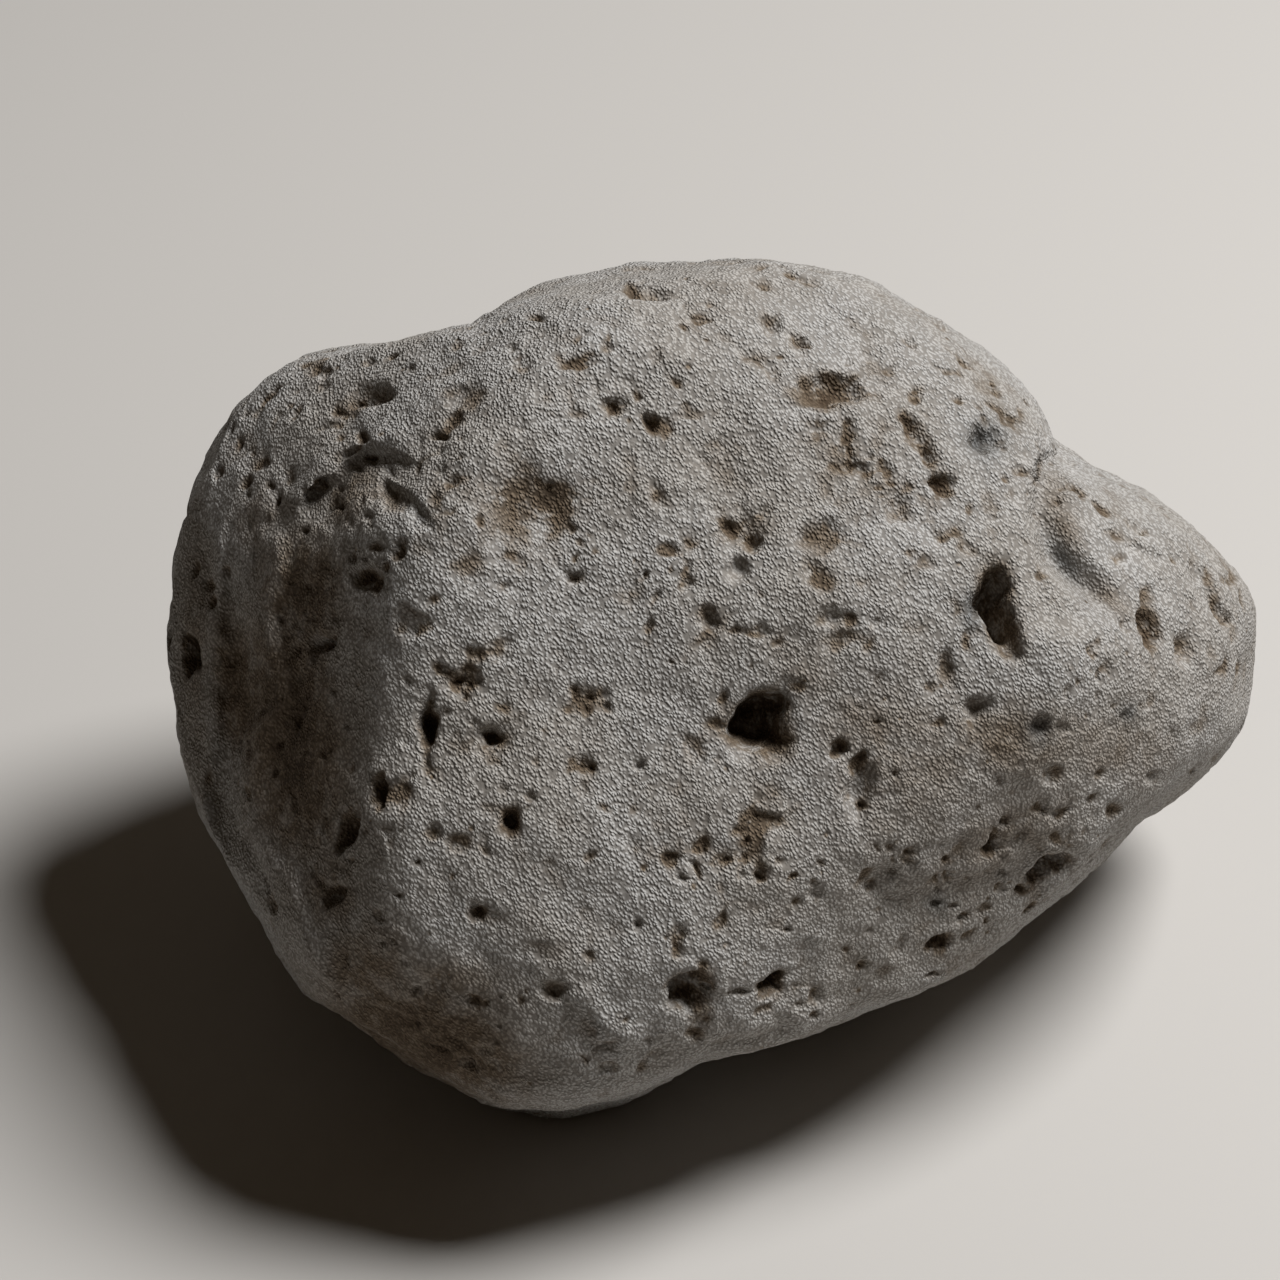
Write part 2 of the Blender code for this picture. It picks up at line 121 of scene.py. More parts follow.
# The stone's outline on the face plane, as (across, up)
OUTLINE = (
    (7.9, 31.3), (13.3, 30.9), (18.4, 29.6), (22.8, 27.2), (28.6, 23.8), (32.0, 20.8), (33.8, 17.8),
    (34.3, 15.8), (37.4, 14.2), (42.3, 12.0), (46.7, 8.9), (49.6, 5.2), (50.8, 2.3), (50.7, -2.1),
    (49.6, -7.1), (46.5, -11.0), (40.7, -15.4), (36.9, -19.3), (31.5, -23.8), (25.7, -27.7),
    (18.3, -30.3), (11.6, -33.2), (5.0, -34.6), (0.0, -37.3), (-5.4, -38.6), (-11.6, -38.4),
    (-16.6, -35.9), (-22.4, -32.5), (-27.6, -29.1), (-30.9, -23.4), (-34.2, -18.4), (-36.9, -12.5),
    (-38.5, -5.0), (-39.2, 0.0), (-38.5, 5.8), (-36.2, 12.9), (-33.2, 19.1), (-28.2, 22.7),
    (-21.6, 24.5), (-13.9, 25.6), (-10.8, 27.6), (-4.2, 29.4), (1.7, 30.5),
)

# Worn facets: a point (across, up, near), near's slope along across and along up, and the edge's softness
FACETS = (
    # main face
    ((0.0, 0.0, 25.0), 0.03, 0.03, 2.0),
    # left flank, below and above
    ((-22.6, -5.0, 22.4), 1.40, -0.12, 2.4),
    ((-24.0, 8.0, 22.0), 1.38, -0.24, 2.4),
    # lower left
    ((-18.6, -28.8, 23.2), 0.90, 1.18, 2.2),
    # upper left shoulder
    ((-20.0, 16.0, 16.9), 1.06, -1.04, 2.0),
    # top, facing the sky
    ((10.0, 18.0, 24.2), -0.30, -0.85, 3.0),
    # upper right
    ((24.0, 14.0, 24.0), -0.75, -0.55, 3.0),
    # lower right
    ((27.0, -13.0, 22.0), -0.60, 0.80, 2.5),
    # nose
    ((40.0, 2.0, 19.0), -0.12, -0.12, 1.5),
)

# Broad swellings and hollows of the face: across, up, half-length, half-width, turn, height
SWELLS = (
    (-9.5, 11.0, 6.0, 5.0, 70.0, -0.4),
    (-17.5, 7.5, 8.0, 7.0, 0.0, 0.6),
    (15.0, 3.0, 12.0, 9.0, 0.0, 1.9),
    (8.0, -33.0, 12.0, 10.0, 0.0, 2.4),
    (-9.0, -17.0, 9.0, 9.0, 0.0, 1.3),
    (37.0, -2.2, 8.0, 4.2, 0.0, 1.4),
    (-34.0, 4.0, 8.0, 2.6, 95.0, 1.0),
    (-20.0, -16.0, 5.0, 3.0, 90.0, 0.6),
)

# Ledges, grooves and ridges: their points, depth (below zero for a ridge), and reach to the left and the
# right of the way that the points run
SEAMS = (
    # the body stands in front of the nose
    (((36.0, 17.5), (33.2, 13.5), (33.2, 10.0), (34.2, 7.2), (36.2, 4.6), (39.6, 1.4)),
     2.3, 2.7, 0.9),
    # long flute down the left flank, and the valley beside it
    (((-32.4, 14.4), (-30.3, 7.8), (-31.6, 1.5), (-30.3, -2.3), (-30.5, -5.1), (-31.9, -8.9),
      (-32.4, -12.7), (-31.9, -16.3), (-29.3, -20.3), (-28.3, -24.2), (-27.3, -26.6), (-25.2, -30.0),
      (-20.7, -32.3)), -1.2, 1.8, 1.6),
    (((-34.4, 8.0), (-34.2, 1.5), (-33.2, -2.3), (-33.4, -7.1), (-35.2, -12.7), (-33.9, -18.3)),
     1.8, 2.4, 2.2),
    (((-34.7, 11.6), (-35.4, 6.6), (-34.9, 1.7)), -0.6, 1.1, 1.1),
    # crag at the upper left corner, hollow under its rim
    (((-28.6, 9.8), (-26.9, 12.2), (-24.7, 14.1), (-22.4, 15.2), (-20.2, 15.1), (-18.6, 13.8)),
     1.6, 0.9, 3.6),
    (((-22.2, 13.6), (-20.6, 12.6), (-18.7, 11.2), (-16.9, 9.2)), 0.7, 0.7, 2.0),
    (((-29.6, 10.6), (-27.2, 13.9), (-25.6, 15.6), (-22.4, 16.8), (-18.9, 16.9)), -0.7, 1.5, 1.0),
    # nose: a small ledge, and the crease before its tip
    (((40.7, 8.5), (42.0, 7.4), (43.6, 6.3)), 0.5, 0.6, 1.4),
    (((45.9, 6.6), (47.3, 3.2), (49.4, 0.8)), 1.1, 1.3, 1.0),
    # ledges low on the right
    (((17.4, -22.4), (24.0, -20.6), (31.0, -19.6), (38.2, -17.4)), 0.6, 1.5, 4.0),
    (((18.5, -21.1), (20.1, -19.1), (21.3, -18.8)), 0.8, 0.8, 2.0),
    (((4.3, -34.0), (9.0, -32.8), (13.7, -31.2)), 0.9, 0.8, 2.4),
    # small ridges at the foot and below the nose's step
    (((-5.8, -28.2), (-3.2, -31.6), (0.0, -34.9)), -0.5, 2.4, 2.4),
    (((30.3, 0.0), (35.5, -0.2), (40.7, -0.8)), -0.5, 2.2, 2.6),
)

# Gas holes with steep walls: across, up, length, width, turn of the length, depth, and the bearing that the
# deepest part lies towards, where it isn't the middle
HOLES = (
    (9.9, -6.8, 5.8, 4.6, 30.0, 4.4, 150.0),
    (29.7, 3.2, 6.0, 3.6, 98.0, 4.0, None),
    (-12.2, -8.1, 2.0, 1.6, 10.0, 1.2, None),
    (-17.8, -7.1, 3.8, 1.5, 88.0, 2.0, None),
    (-21.6, -12.7, 2.5, 1.4, 80.0, 1.2, None),
    (-24.3, -15.8, 4.0, 1.6, 68.0, 1.8, None),
    (-25.5, -21.3, 2.3, 1.4, 70.0, 1.2, None),
    (-26.6, -0.2, 2.6, 1.4, 15.0, 1.4, None),
    (-37.4, -1.2, 3.4, 1.6, 90.0, 1.8, None),
    (-11.0, -14.9, 1.5, 1.3, 90.0, 1.0, None),
    (4.2, -29.5, 4.0, 3.4, 50.0, 2.2, 160.0),
    (11.1, -28.7, 2.7, 1.6, 20.0, 1.7, None),
    (18.0, -10.2, 2.2, 1.5, 80.0, 0.9, None),
    (16.5, -9.0, 1.6, 1.4, 90.0, 1.0, None),
    (1.0, 18.2, 1.8, 1.4, 90.0, 0.9, None),
    (15.9, 21.0, 5.6, 3.1, -8.0, 1.5, None),
    (22.5, 18.1, 2.2, 1.4, 120.0, 0.5, None),
    (23.9, 15.4, 2.4, 1.1, 110.0, 0.6, None),
    (25.1, 13.1, 2.3, 1.6, 150.0, 0.9, None),
    (42.2, 1.2, 3.4, 1.8, 110.0, 1.6, None),
    (34.0, -18.8, 4.0, 1.7, 40.0, 1.7, None),
    (29.3, -17.3, 2.4, 1.4, 55.0, 1.2, None),
    (24.9, -25.2, 2.2, 1.3, 10.0, 1.0, None),
)

# Shallow hollows with soft walls, as across, up, length, width, turn and depth
DIMPLES = (
    (-10.0, 10.8, 10.4, 9.0, 70.0, 1.0),
    (-7.0, 11.4, 5.0, 3.6, 80.0, 0.4),
    (28.0, -5.6, 3.4, 2.8, 20.0, 1.0),
    (33.2, -7.2, 3.0, 2.2, 30.0, 0.8),
    (23.3, 16.6, 5.2, 2.4, 120.0, 0.5),
    (28.8, 16.8, 3.3, 3.0, 0.0, 1.5),
    (18.4, -12.6, 6.4, 3.0, 85.0, 1.1),
    (5.8, 1.8, 3.0, 2.0, 100.0, 0.9),
    (-12.2, -8.3, 4.6, 4.0, 20.0, 0.7),
    (-11.0, -15.0, 3.2, 2.8, 90.0, 0.5),
    (11.0, -8.9, 4.0, 3.4, 20.0, 1.0),
    (30.7, 0.2, 4.4, 3.0, 95.0, 1.3),
    (-26.8, 12.6, 3.4, 2.0, 50.0, 0.5),
    (-20.6, 11.8, 4.0, 2.2, -38.0, 0.5),
    (8.6, 9.2, 5.0, 3.6, 10.0, 0.8),
    (8.0, 5.9, 2.2, 2.2, 0.0, 0.8),
    (10.9, 26.2, 2.4, 2.0, 0.0, 1.0),
    (13.4, 24.8, 1.9, 1.6, 0.0, 0.8),
    (0.5, 29.1, 4.6, 1.5, 0.0, 1.0),
    (-2.1, 19.5, 2.6, 2.4, 0.0, 0.6),
    (15.7, 1.9, 2.8, 2.4, 0.0, 0.7),
    (21.3, 11.1, 4.2, 2.6, 90.0, 0.8),
    (14.9, 8.8, 5.2, 3.2, 0.0, 0.8),
    (25.4, -2.4, 3.8, 2.4, 90.0, 0.8),
    (45.4, -0.7, 3.8, 2.4, 90.0, 0.9),
    (-22.4, 20.3, 5.6, 2.2, 20.0, 0.7),
    (-14.6, 20.3, 4.8, 2.2, 0.0, 0.4),
    (-7.2, -29.2, 2.6, 2.5, 0.0, 0.9),
    (-22.7, 5.2, 3.8, 2.6, 0.0, 0.8),
    (-13.5, -22.8, 2.3, 1.8, 90.0, 0.8),
    (-14.9, -3.3, 3.6, 3.2, 0.0, 0.6),
    (-4.6, -5.0, 3.8, 3.4, 0.0, 0.6),
    (-4.7, -10.5, 2.8, 2.6, 0.0, 0.6),
)

# Small gas holes of the face that the solid leaves out, as across, up, length, width, turn and depth
SMALL_HOLES = (
    # beside and below the nose's step
    (27.6, 2.7, 2.9, 0.9, 90.0, 0.70),
    (27.1, -0.2, 1.6, 0.9, 90.0, 0.42),
    (33.4, 5.4, 1.2, 0.9, 0.0, 0.42),
    (27.4, 11.0, 1.2, 0.9, 0.0, 0.35),
    (29.9, 10.3, 1.2, 0.8, 0.0, 0.35),
    (24.1, -4.0, 1.2, 1.0, 0.0, 0.42),
    (35.2, -7.3, 1.6, 1.2, 0.0, 0.42),
    # nose
    (38.3, -11.1, 1.6, 1.3, 0.0, 0.42),
    (42.7, -11.5, 1.3, 1.1, 0.0, 0.56),
    (40.8, -6.1, 1.0, 0.9, 0.0, 0.35),
    (39.8, 6.9, 1.5, 1.2, 90.0, 0.35),
    (42.1, 8.9, 1.4, 0.7, 0.0, 0.28),
    (47.1, 5.1, 2.2, 1.1, 90.0, 0.49),
    (48.1, -2.4, 1.6, 0.6, 60.0, 0.42),
    # lower right
    (30.2, -19.3, 1.8, 0.8, 5.0, 0.56),
    (30.4, -15.3, 1.3, 1.2, 0.0, 0.56),
    (26.0, -22.1, 1.0, 0.8, 20.0, 0.49),
    (24.3, -27.6, 2.0, 0.6, 10.0, 0.42),
    (24.6, -21.7, 1.2, 0.8, 0.0, 0.42),
    (19.6, -6.9, 1.0, 1.0, 0.0, 0.35),
    (18.5, -5.6, 1.0, 0.7, 0.0, 0.35),
    (21.2, -11.0, 0.9, 0.8, 0.0, 0.28),
    # foot
    (9.4, -14.2, 1.3, 1.2, 0.0, 0.35),
    (8.0, -15.8, 1.5, 1.4, 0.0, 0.42),
    (9.0, -16.8, 1.0, 0.7, 90.0, 0.35),
    (0.0, -10.5, 1.3, 1.0, 90.0, 0.56),
    (-3.9, -18.0, 1.5, 1.5, 0.0, 0.42),
    (4.6, -18.8, 2.0, 1.2, 120.0, 0.56),
    (3.5, -19.8, 1.3, 1.1, 0.0, 0.42),
    (-0.2, -23.6, 1.4, 1.1, 90.0, 0.56),
    (12.5, -24.2, 0.8, 0.7, 0.0, 0.35),
    (3.5, -26.1, 2.0, 1.8, 0.0, 0.28),
    (5.8, -29.0, 1.2, 0.8, 20.0, 0.56),
    (8.4, -29.2, 2.2, 0.6, 5.0, 0.56),
    (-12.0, -36.6, 0.8, 0.7, 0.0, 0.28),
    # middle of the face
    (7.3, 9.7, 2.6, 1.6, -40.0, 0.42),
    (10.6, 10.8, 2.4, 1.3, 60.0, 0.42),
    (9.1, 8.1, 2.0, 2.0, 0.0, 0.63),
    (11.6, -0.1, 1.3, 1.0, 0.0, 0.35),
    (2.7, -1.7, 0.8, 0.8, 0.0, 0.28),
    (19.0, -0.4, 2.0, 2.0, 0.0, 0.28),
    (13.4, -3.8, 1.8, 1.5, 0.0, 0.28),
    (14.7, 17.7, 2.0, 2.0, 0.0, 0.28),
    (2.2, 17.9, 3.0, 1.5, 80.0, 0.42),
    (-13.3, -1.2, 2.0, 1.5, 0.0, 0.35),
    (-11.5, 4.7, 1.5, 1.0, 0.0, 0.35),
    # top
    (9.9, 29.8, 2.2, 1.0, 0.0, 0.42),
    (-0.8, 29.6, 1.6, 0.8, 0.0, 0.42),
    (3.5, 26.3, 1.0, 0.6, 0.0, 0.35),
    (-8.7, 27.1, 1.6, 0.8, 10.0, 0.35),
    (-11.0, 24.3, 1.2, 0.8, 0.0, 0.35),
    (-10.0, 23.3, 2.2, 1.5, 0.0, 0.35),
    # left flank and lower left
    (-17.8, -10.1, 2.0, 1.2, 90.0, 0.42),
    (-24.7, -26.6, 1.5, 0.8, 90.0, 0.42),
    (-18.8, -29.0, 1.4, 1.0, 60.0, 0.63),
    (-28.8, -1.0, 1.0, 0.8, 0.0, 0.35),
    (-28.8, -6.9, 1.7, 0.7, 70.0, 0.42),
    (-30.5, -10.8, 1.3, 1.0, 90.0, 0.49),
    (-24.1, -18.2, 0.8, 0.7, 0.0, 0.35),
    (-18.4, -18.5, 0.8, 0.8, 0.0, 0.35),
    (-21.2, -24.9, 0.9, 0.7, 0.0, 0.35),
    (-20.2, -21.1, 0.8, 0.7, 0.0, 0.28),
    (-34.6, 5.9, 1.6, 0.7, 90.0, 0.35),
    (-30.5, 11.9, 1.5, 0.8, 90.0, 0.42),
    (-32.9, 13.4, 1.6, 1.0, 60.0, 0.49),
    # shoulder and crag
    (-25.0, 19.0, 1.8, 1.0, 20.0, 0.42),
    (-20.7, 23.6, 1.6, 0.7, 15.0, 0.35),
    (-22.7, 23.1, 1.3, 0.7, 15.0, 0.35),
    (-30.3, 20.8, 1.4, 0.7, 30.0, 0.35),
    (-29.1, 19.5, 1.2, 0.7, 30.0, 0.28),
    (-33.4, 16.9, 1.5, 0.7, 50.0, 0.35),
    (-26.0, 13.4, 1.8, 0.7, 45.0, 0.63),
    (-22.7, 10.4, 1.3, 1.0, 0.0, 0.42),
    (-28.3, 9.3, 1.0, 0.8, 0.0, 0.42),
    (-15.4, 13.6, 1.5, 1.3, 0.0, 0.42),
    (-16.8, 17.2, 1.4, 1.2, 0.0, 0.63),
    (-23.2, 16.9, 1.5, 1.3, 0.0, 0.49),
    (-24.2, 15.7, 2.5, 1.2, 15.0, 0.42),
    (-26.2, 17.8, 3.2, 0.8, 16.0, 0.35),
)

# Rough spots of the face, each a seeded cluster of tiny holes: across, up, reach and count
ROUGH_SPOTS = (
    (-14.4, -3.3, 1.8, 9),
    (-4.6, -5.0, 2.0, 10),
    (-4.7, -10.5, 1.4, 7),
    (0.2, 5.8, 1.4, 5),
    (20.7, 13.1, 1.6, 7),
    (18.5, 15.4, 1.4, 5),
    (36.7, -2.7, 2.2, 8),
    (8.6, -19.3, 1.8, 7),
    (22.0, -17.4, 2.4, 9),
    (-27.5, 3.0, 3.4, 14),
    (-26.0, -7.0, 3.2, 10),
    (-22.0, 7.0, 2.4, 8),
    (-22.5, 14.0, 2.4, 9),
    (-26.0, 12.5, 2.0, 7),
    (-5.0, 7.5, 2.4, 8),
    (28.0, -19.5, 4.0, 14),
    (-13.0, -32.0, 2.6, 8),
    (14.0, -20.0, 3.0, 8),
)
SPOT_SEED = 7

# A rough spot's holes: ranges of the length and of the width as a share of it, and the depth as such a share
SPOT_HOLE_LENGTH = (0.7, 1.4)
SPOT_HOLE_WIDTH = (0.6, 0.9)
SPOT_HOLE_DEPTH = 0.25

# A seam fades in and out over this share of its length. It wanders off its points: the size of the unevenness
# that leads it, and how far that leads it at most
SEAM_FADE = 0.2
SEAM_WANDER = (3.2, 0.7)

# A hole's rim is ragged by waves, as height, count round the rim, and how far each hole turns them
RIM_WAVES = ((0.10, 2.0, 1.0), (0.08, 3.0, 2.3), (0.05, 5.0, 4.1))
RAGGED_STEP = 1.7

# How steep a hole's walls are, how far off its middle a leaning hole is deepest, and how gently the walls of
# a soft hollow or a dish run out
HOLE_STEEPNESS = 3.0
HOLE_LEAN = 0.4
DIMPLE_SOFTNESS = 1.5

# Holes over the back and the underside, which lie where a seeded draw puts them, as ranges: how far towards
# the back, length, and width as a share of the length. Long ones are rarer, by a power, and the depth is a
# share of the width
BACK_SEED = 41
BACK_HOLES = 64
BACK_HOLE_PLACE = (-1.0, -0.12)
BACK_HOLE_LENGTH = (1.9, 6.4)
BACK_HOLE_RARITY = 2.6
BACK_HOLE_WIDTH = (0.5, 0.9)
BACK_HOLE_DEPTH = 0.45

# Tiny holes all over the stone, in the same terms
TINY_SEED = 23
TINY_HOLE_LENGTH = (0.8, 2.2)
TINY_HOLE_RARITY = 2.2
TINY_HOLE_WIDTH = (0.5, 0.95)
TINY_HOLE_DEPTH = 0.30

# A steep hole stands in a worn dish: how much wider that is, and its share of the depth
DISH_SPREAD = 1.5
DISH_SHARE = 0.25

# Dirt lies round a steep hole and a soft hollow as far out as these shares of their reach
HOLE_STAIN = 1.45
DIMPLE_STAIN = 1.10

# Rough pitting in patches, as the size of the pits, how uneven the stone must be there for a pit, its depth
# and the size of the patches
PITTING = (
    (1.4, 0.20, 0.34, 5.5),
    (2.8, 0.30, 0.45, 9.0),
)

# Over which range of unevenness a patch of pitting fades in, how much further a pit takes to reach its depth,
# and how much earlier than the pit its dirt starts
PITTING_PATCH = (-0.05, 0.40)
PIT_SLOPE = 0.35
PIT_STAIN = 0.10

# How strongly dirt lies in each kind of hollow
HOLE_DIRT = 0.9
DIMPLE_DIRT = 0.5
SMALL_HOLE_DIRT = 0.6
SPOT_DIRT = 0.5
PIT_DIRT = 0.6

# How deep the rolling surface's own hollows must be to be darkened, in millimetres, and how strongly they are
# darkened
CAVITY = (0.02, 0.25)
CAVITY_DARKENING = 0.30

# Rolling surface of the stone: the size of its swellings and how far they stand out on the face and the back
ROLLS = (
    (15.0, 0.0, 2.2),
    (9.0, 0.55, 0.55),
)

# Finer rolling, as size and height. The solid has only the first of these
FINE_ROLLS = (
    (2.6, 0.14),
    (4.5, 0.30),
    (1.3, 0.12),
    (0.75, 0.07),
)

# How far a hole's rim is shifted by the unevenness round it, as the sizes of that unevenness for the shift
# across and the shift up, and the shift
RIM_SHIFTS = (
    (2.4, 2.64, 0.40),
    (1.0, 1.1, 0.22),
)

# Where the face carries brown dirt, blue-grey rock, or is worn smooth: across, up, half-length, half-width,
# turn and strength. The brown patches on the left flank, the lower left, the crag and below the nose are
# painted shade as well as brown dirt
DIRT_AND_SHADE_PATCHES = (
    (15.9, 20.9, 2.6, 1.4, -8.0, 0.6),
    (-6.2, 11.0, 1.6, 3.4, 0.0, 0.35),
    (-9.5, 7.6, 4.0, 1.6, 10.0, 0.30),
    (9.0, 9.6, 2.4, 1.6, 0.0, 0.5),
    (28.1, -5.7, 1.6, 1.3, 0.0, 0.6),
    (35.2, -7.3, 1.6, 1.2, 0.0, 0.5),
    (35.0, 10.5, 1.6, 4.2, 20.0, 0.55),
    (38.5, 3.8, 3.6, 1.4, -35.0, 0.5),
    (22.0, -10.0, 9.0, 9.0, 0.0, 0.45),
    (18.5, -7.5, 4.5, 4.0, 0.0, 0.55),
    (14.0, -3.0, 3.5, 3.5, 0.0, 0.4),
    (31.0, -8.0, 7.0, 3.6, 0.0, 0.65),
    (30.0, -16.5, 9.0, 4.0, 30.0, 0.5),
    (18.0, 3.0, 7.0, 6.0, 0.0, 0.12),
    (-24.5, 12.6, 4.4, 2.6, 30.0, 0.6),
    (-25.0, 11.0, 3.4, 2.6, 0.0, 0.55),
    (-28.0, 4.0, 4.4, 6.5, 0.0, 0.85),
    (-29.0, -8.0, 5.0, 12.0, 8.0, 1.0),
    (-33.5, -4.0, 2.4, 7.0, 8.0, 0.9),
    (-18.0, -33.0, 10.0, 4.5, -25.0, 1.0),
    (-26.0, -20.5, 4.0, 5.0, 30.0, 0.6),
    (-23.0, -27.5, 5.0, 5.0, 0.0, 0.7),
    (-15.0, -28.5, 7.0, 3.0, -15.0, 0.5),
    (-31.5, 10.0, 3.4, 4.0, 0.0, 0.5),
    (-37.0, 0.0, 2.0, 14.0, 0.0, 0.5),
    (40.0, -9.0, 6.0, 3.4, 0.0, 0.5),
    (11.2, -9.0, 2.0, 1.6, 0.0, 0.7),
    (31.0, 0.2, 1.3, 2.2, 10.0, 0.7),
    (21.0, 12.6, 2.2, 2.8, 0.0, 0.4),
)
BLUE_PATCHES = (
    (28.8, 16.8, 1.8, 1.6, 0.0, 1.0),
    (27.6, 2.7, 0.9, 1.8, 0.0, 1.0),
    (35.4, 6.4, 0.9, 2.6, 35.0, 0.8),
    (33.0, -7.6, 1.6, 1.4, 0.0, 0.8),
    (40.8, -6.1, 1.0, 0.9, 0.0, 0.8),
    (24.6, -21.7, 1.2, 0.9, 0.0, 0.7),
)
SMOOTH_PATCHES = (
    (-17.5, -26.6, 3.0, 3.4, 30.0, 0.9),
    (-10.0, -33.0, 3.4, 2.6, -20.0, 0.9),
    (-34.0, -4.0, 3.0, 12.0, 4.0, 0.6),
    (8.0, 5.9, 1.2, 1.2, 0.0, 0.9),
    (39.8, 6.9, 1.3, 1.1, 0.0, 0.9),
    (-7.2, -29.2, 1.3, 1.2, 0.0, 0.7),
    (15.6, 0.0, 1.6, 2.6, 20.0, 0.5),
    (-16.4, 19.8, 2.6, 1.0, 10.0, 0.7),
)


class PumiceStoneSettings(bpy.types.PropertyGroup):
    """Sizes and colours of the stone."""
    grain_length: FloatProperty(
        name="Grain length", description="Length of the grain's pebbles",
        default=0.33 * MM, min=0.05 * MM, unit='LENGTH', subtype='DISTANCE')
    grain_width: FloatProperty(
        name="Grain width", description="Width of the grain's pebbles",
        default=0.23 * MM, min=0.05 * MM, unit='LENGTH', subtype='DISTANCE')
    grain_height: FloatProperty(
        name="Grain height", description="How far the grain stands out",
        default=0.14 * MM, min=0.0, unit='LENGTH', subtype='DISTANCE')
    speck_spacing: FloatProperty(
        name="Speck spacing", description="Distance between the specks, which are the smallest gas holes",
        default=1.5 * MM, min=0.3 * MM, unit='LENGTH', subtype='DISTANCE')
    tiny_holes: IntProperty(
        name="Tiny holes", description="How many tiny gas holes are spread over the whole stone",
        default=170, min=0)
    rock_colour: FloatVectorProperty(
        name="Rock colour", description="Pale grey of the bare rock",
        default=(0.445, 0.434, 0.418), size=3, min=0.0, max=1.0, subtype='COLOR')
    warm_colour: FloatVectorProperty(
        name="Warm colour", description="Warmer grey of the rock's broad patches",
        default=(0.405, 0.384, 0.356), size=3, min=0.0, max=1.0, subtype='COLOR')
    # The earth and dirt colours are dirt, and also painted shade where the brown patches lie
    earth_and_shade_colour: FloatVectorProperty(
        name="Earth colour", description="Tan of the thin dirt round the hollows",
        default=(0.215, 0.168, 0.120), size=3, min=0.0, max=1.0, subtype='COLOR')
    # Painted shade between the grain's pebbles
    crevice_shade_colour: FloatVectorProperty(
        name="Crevice colour", description="Darkens whatever colour lies between the grain's pebbles",
        default=(0.31, 0.28, 0.25), size=3, min=0.0, max=1.0, subtype='COLOR')
    dirt_and_shade_colour: FloatVectorProperty(
        name="Dirt colour", description="Brown of the dirt in the hollows",
        default=(0.080, 0.052, 0.030), size=3, min=0.0, max=1.0, subtype='COLOR')
    blue_colour: FloatVectorProperty(
        name="Blue-grey colour", description="Blue-grey of a few hollows",
        default=(0.120, 0.127, 0.130), size=3, min=0.0, max=1.0, subtype='COLOR')


class PumiceStageSettings(bpy.types.PropertyGroup):
    """Colours and lights of the stage."""
    floor_colour: FloatVectorProperty(
        name="Floor colour", description="Pale grey of the floor",
        default=(0.50, 0.48, 0.455), size=3, min=0.0, max=1.0, subtype='COLOR')
    key_power: FloatProperty(
        name="Key light", description="Power of the soft light at the upper right",
        default=7.2, min=0.0, unit='POWER')
    key_size: FloatProperty(
        name="Key light size", description="Width of the soft light at the upper right",
        default=0.30, min=0.01, unit='LENGTH', subtype='DISTANCE')
    sky_strength: FloatProperty(
        name="Room light", description="Strength of the even light from all round",
        default=0.036, min=0.0)


def smooth_step(low, high, value):
    """0 below low, 1 above high, and an S between them. It also runs downwards, from high to low."""
    share = np.clip((value - low) / (high - low), 0.0, 1.0)
    return share * share * (3.0 - 2.0 * share)


def turned(across, up, degrees):
    """Places on the face plane, measured along a turned length and the width across it."""
    angle = math.radians(degrees)
    along = across * math.cos(angle) + up * math.sin(angle)
    beside = up * math.cos(angle) - across * math.sin(angle)
    return along, beside


def outline_reach(bearing, spread):
    """How far the outline lies from the middle at each bearing, evened out over a spread in degrees."""
    offsets = np.array(OUTLINE) - np.array(MIDDLE)
    bearings = np.arctan2(offsets[:, 1], offsets[:, 0])
    reaches = np.hypot(offsets[:, 0], offsets[:, 1])
    order = np.argsort(bearings)
    turn = np.radians(np.arange(-180.0, 180.0, OUTLINE_STEP))
    rough = np.interp(turn, bearings[order], reaches[order], period=2 * math.pi)
    widest = round(SPREADS_SEEN * spread / OUTLINE_STEP)
    steps = np.arange(-widest, widest + 1)
    weights = np.exp(-((steps * OUTLINE_STEP / spread) ** 2))
    even = sum(weight * np.roll(rough, step) for step, weight in zip(steps, weights)) / weights.sum()
    return np.interp(bearing, turn, even, period=2 * math.pi)


def bare_form(directions):
    """Across, up and near of the stone's bare form, for unit directions from its middle."""
    out = np.hypot(directions[:, 0], directions[:, 1])
    bearing = np.arctan2(directions[:, 1], directions[:, 0])
    in_front = directions[:, 2] > 0.0
    rim = outline_reach(bearing, RIM_SPREAD) + RIM_ALLOWANCE
    broad = outline_reach(bearing, BODY_SPREAD)
    rim_from = np.where(in_front, FRONT_RIM_FROM, BACK_RIM_FROM)
    reach = broad + (rim - broad) * smooth_step(rim_from, RIM_FULL_FROM, out)
    reach = broad.mean() + (reach - broad.mean()) * smooth_step(0.0, BODY_FULL_FROM, out)
    across = MIDDLE[0] + reach * out * np.cos(bearing)
    up = MIDDLE[1] + reach * out * np.sin(bearing)
    height = np.abs(directions[:, 2])
    front = FRONT_DEPTH * height ** FRONT_FULLNESS
    back = -BACK_DEPTH * height ** BACK_FULLNESS
    near = np.where(in_front, front, back)
    near -= NOSE_LEAN * smooth_step(*NOSE_SPAN, across)
    near += FOOT_LEAN * smooth_step(*FOOT_SPAN, up)
    return across, up, near


def wear_facets(across, up, near):
    """Near, worn down softly to each facet that lies below it."""
    for (at_across, at_up, at_near), along_across, along_up, soft in FACETS:
        facet = at_near + along_across * (across - at_across) + along_up * (up - at_up)
        near = -soft * np.logaddexp(-near / soft, -facet / soft)
    return near


def swell(across, up):
    """How far the broad swellings and hollows raise the face."""
    raised = np.zeros_like(across)
    for at_across, at_up, length, width, turn, height in SWELLS:
        along, beside = turned(across - at_across, up - at_up, turn)
        raised += height * np.exp(-((along / length) ** 2) - (beside / width) ** 2)
    return raised


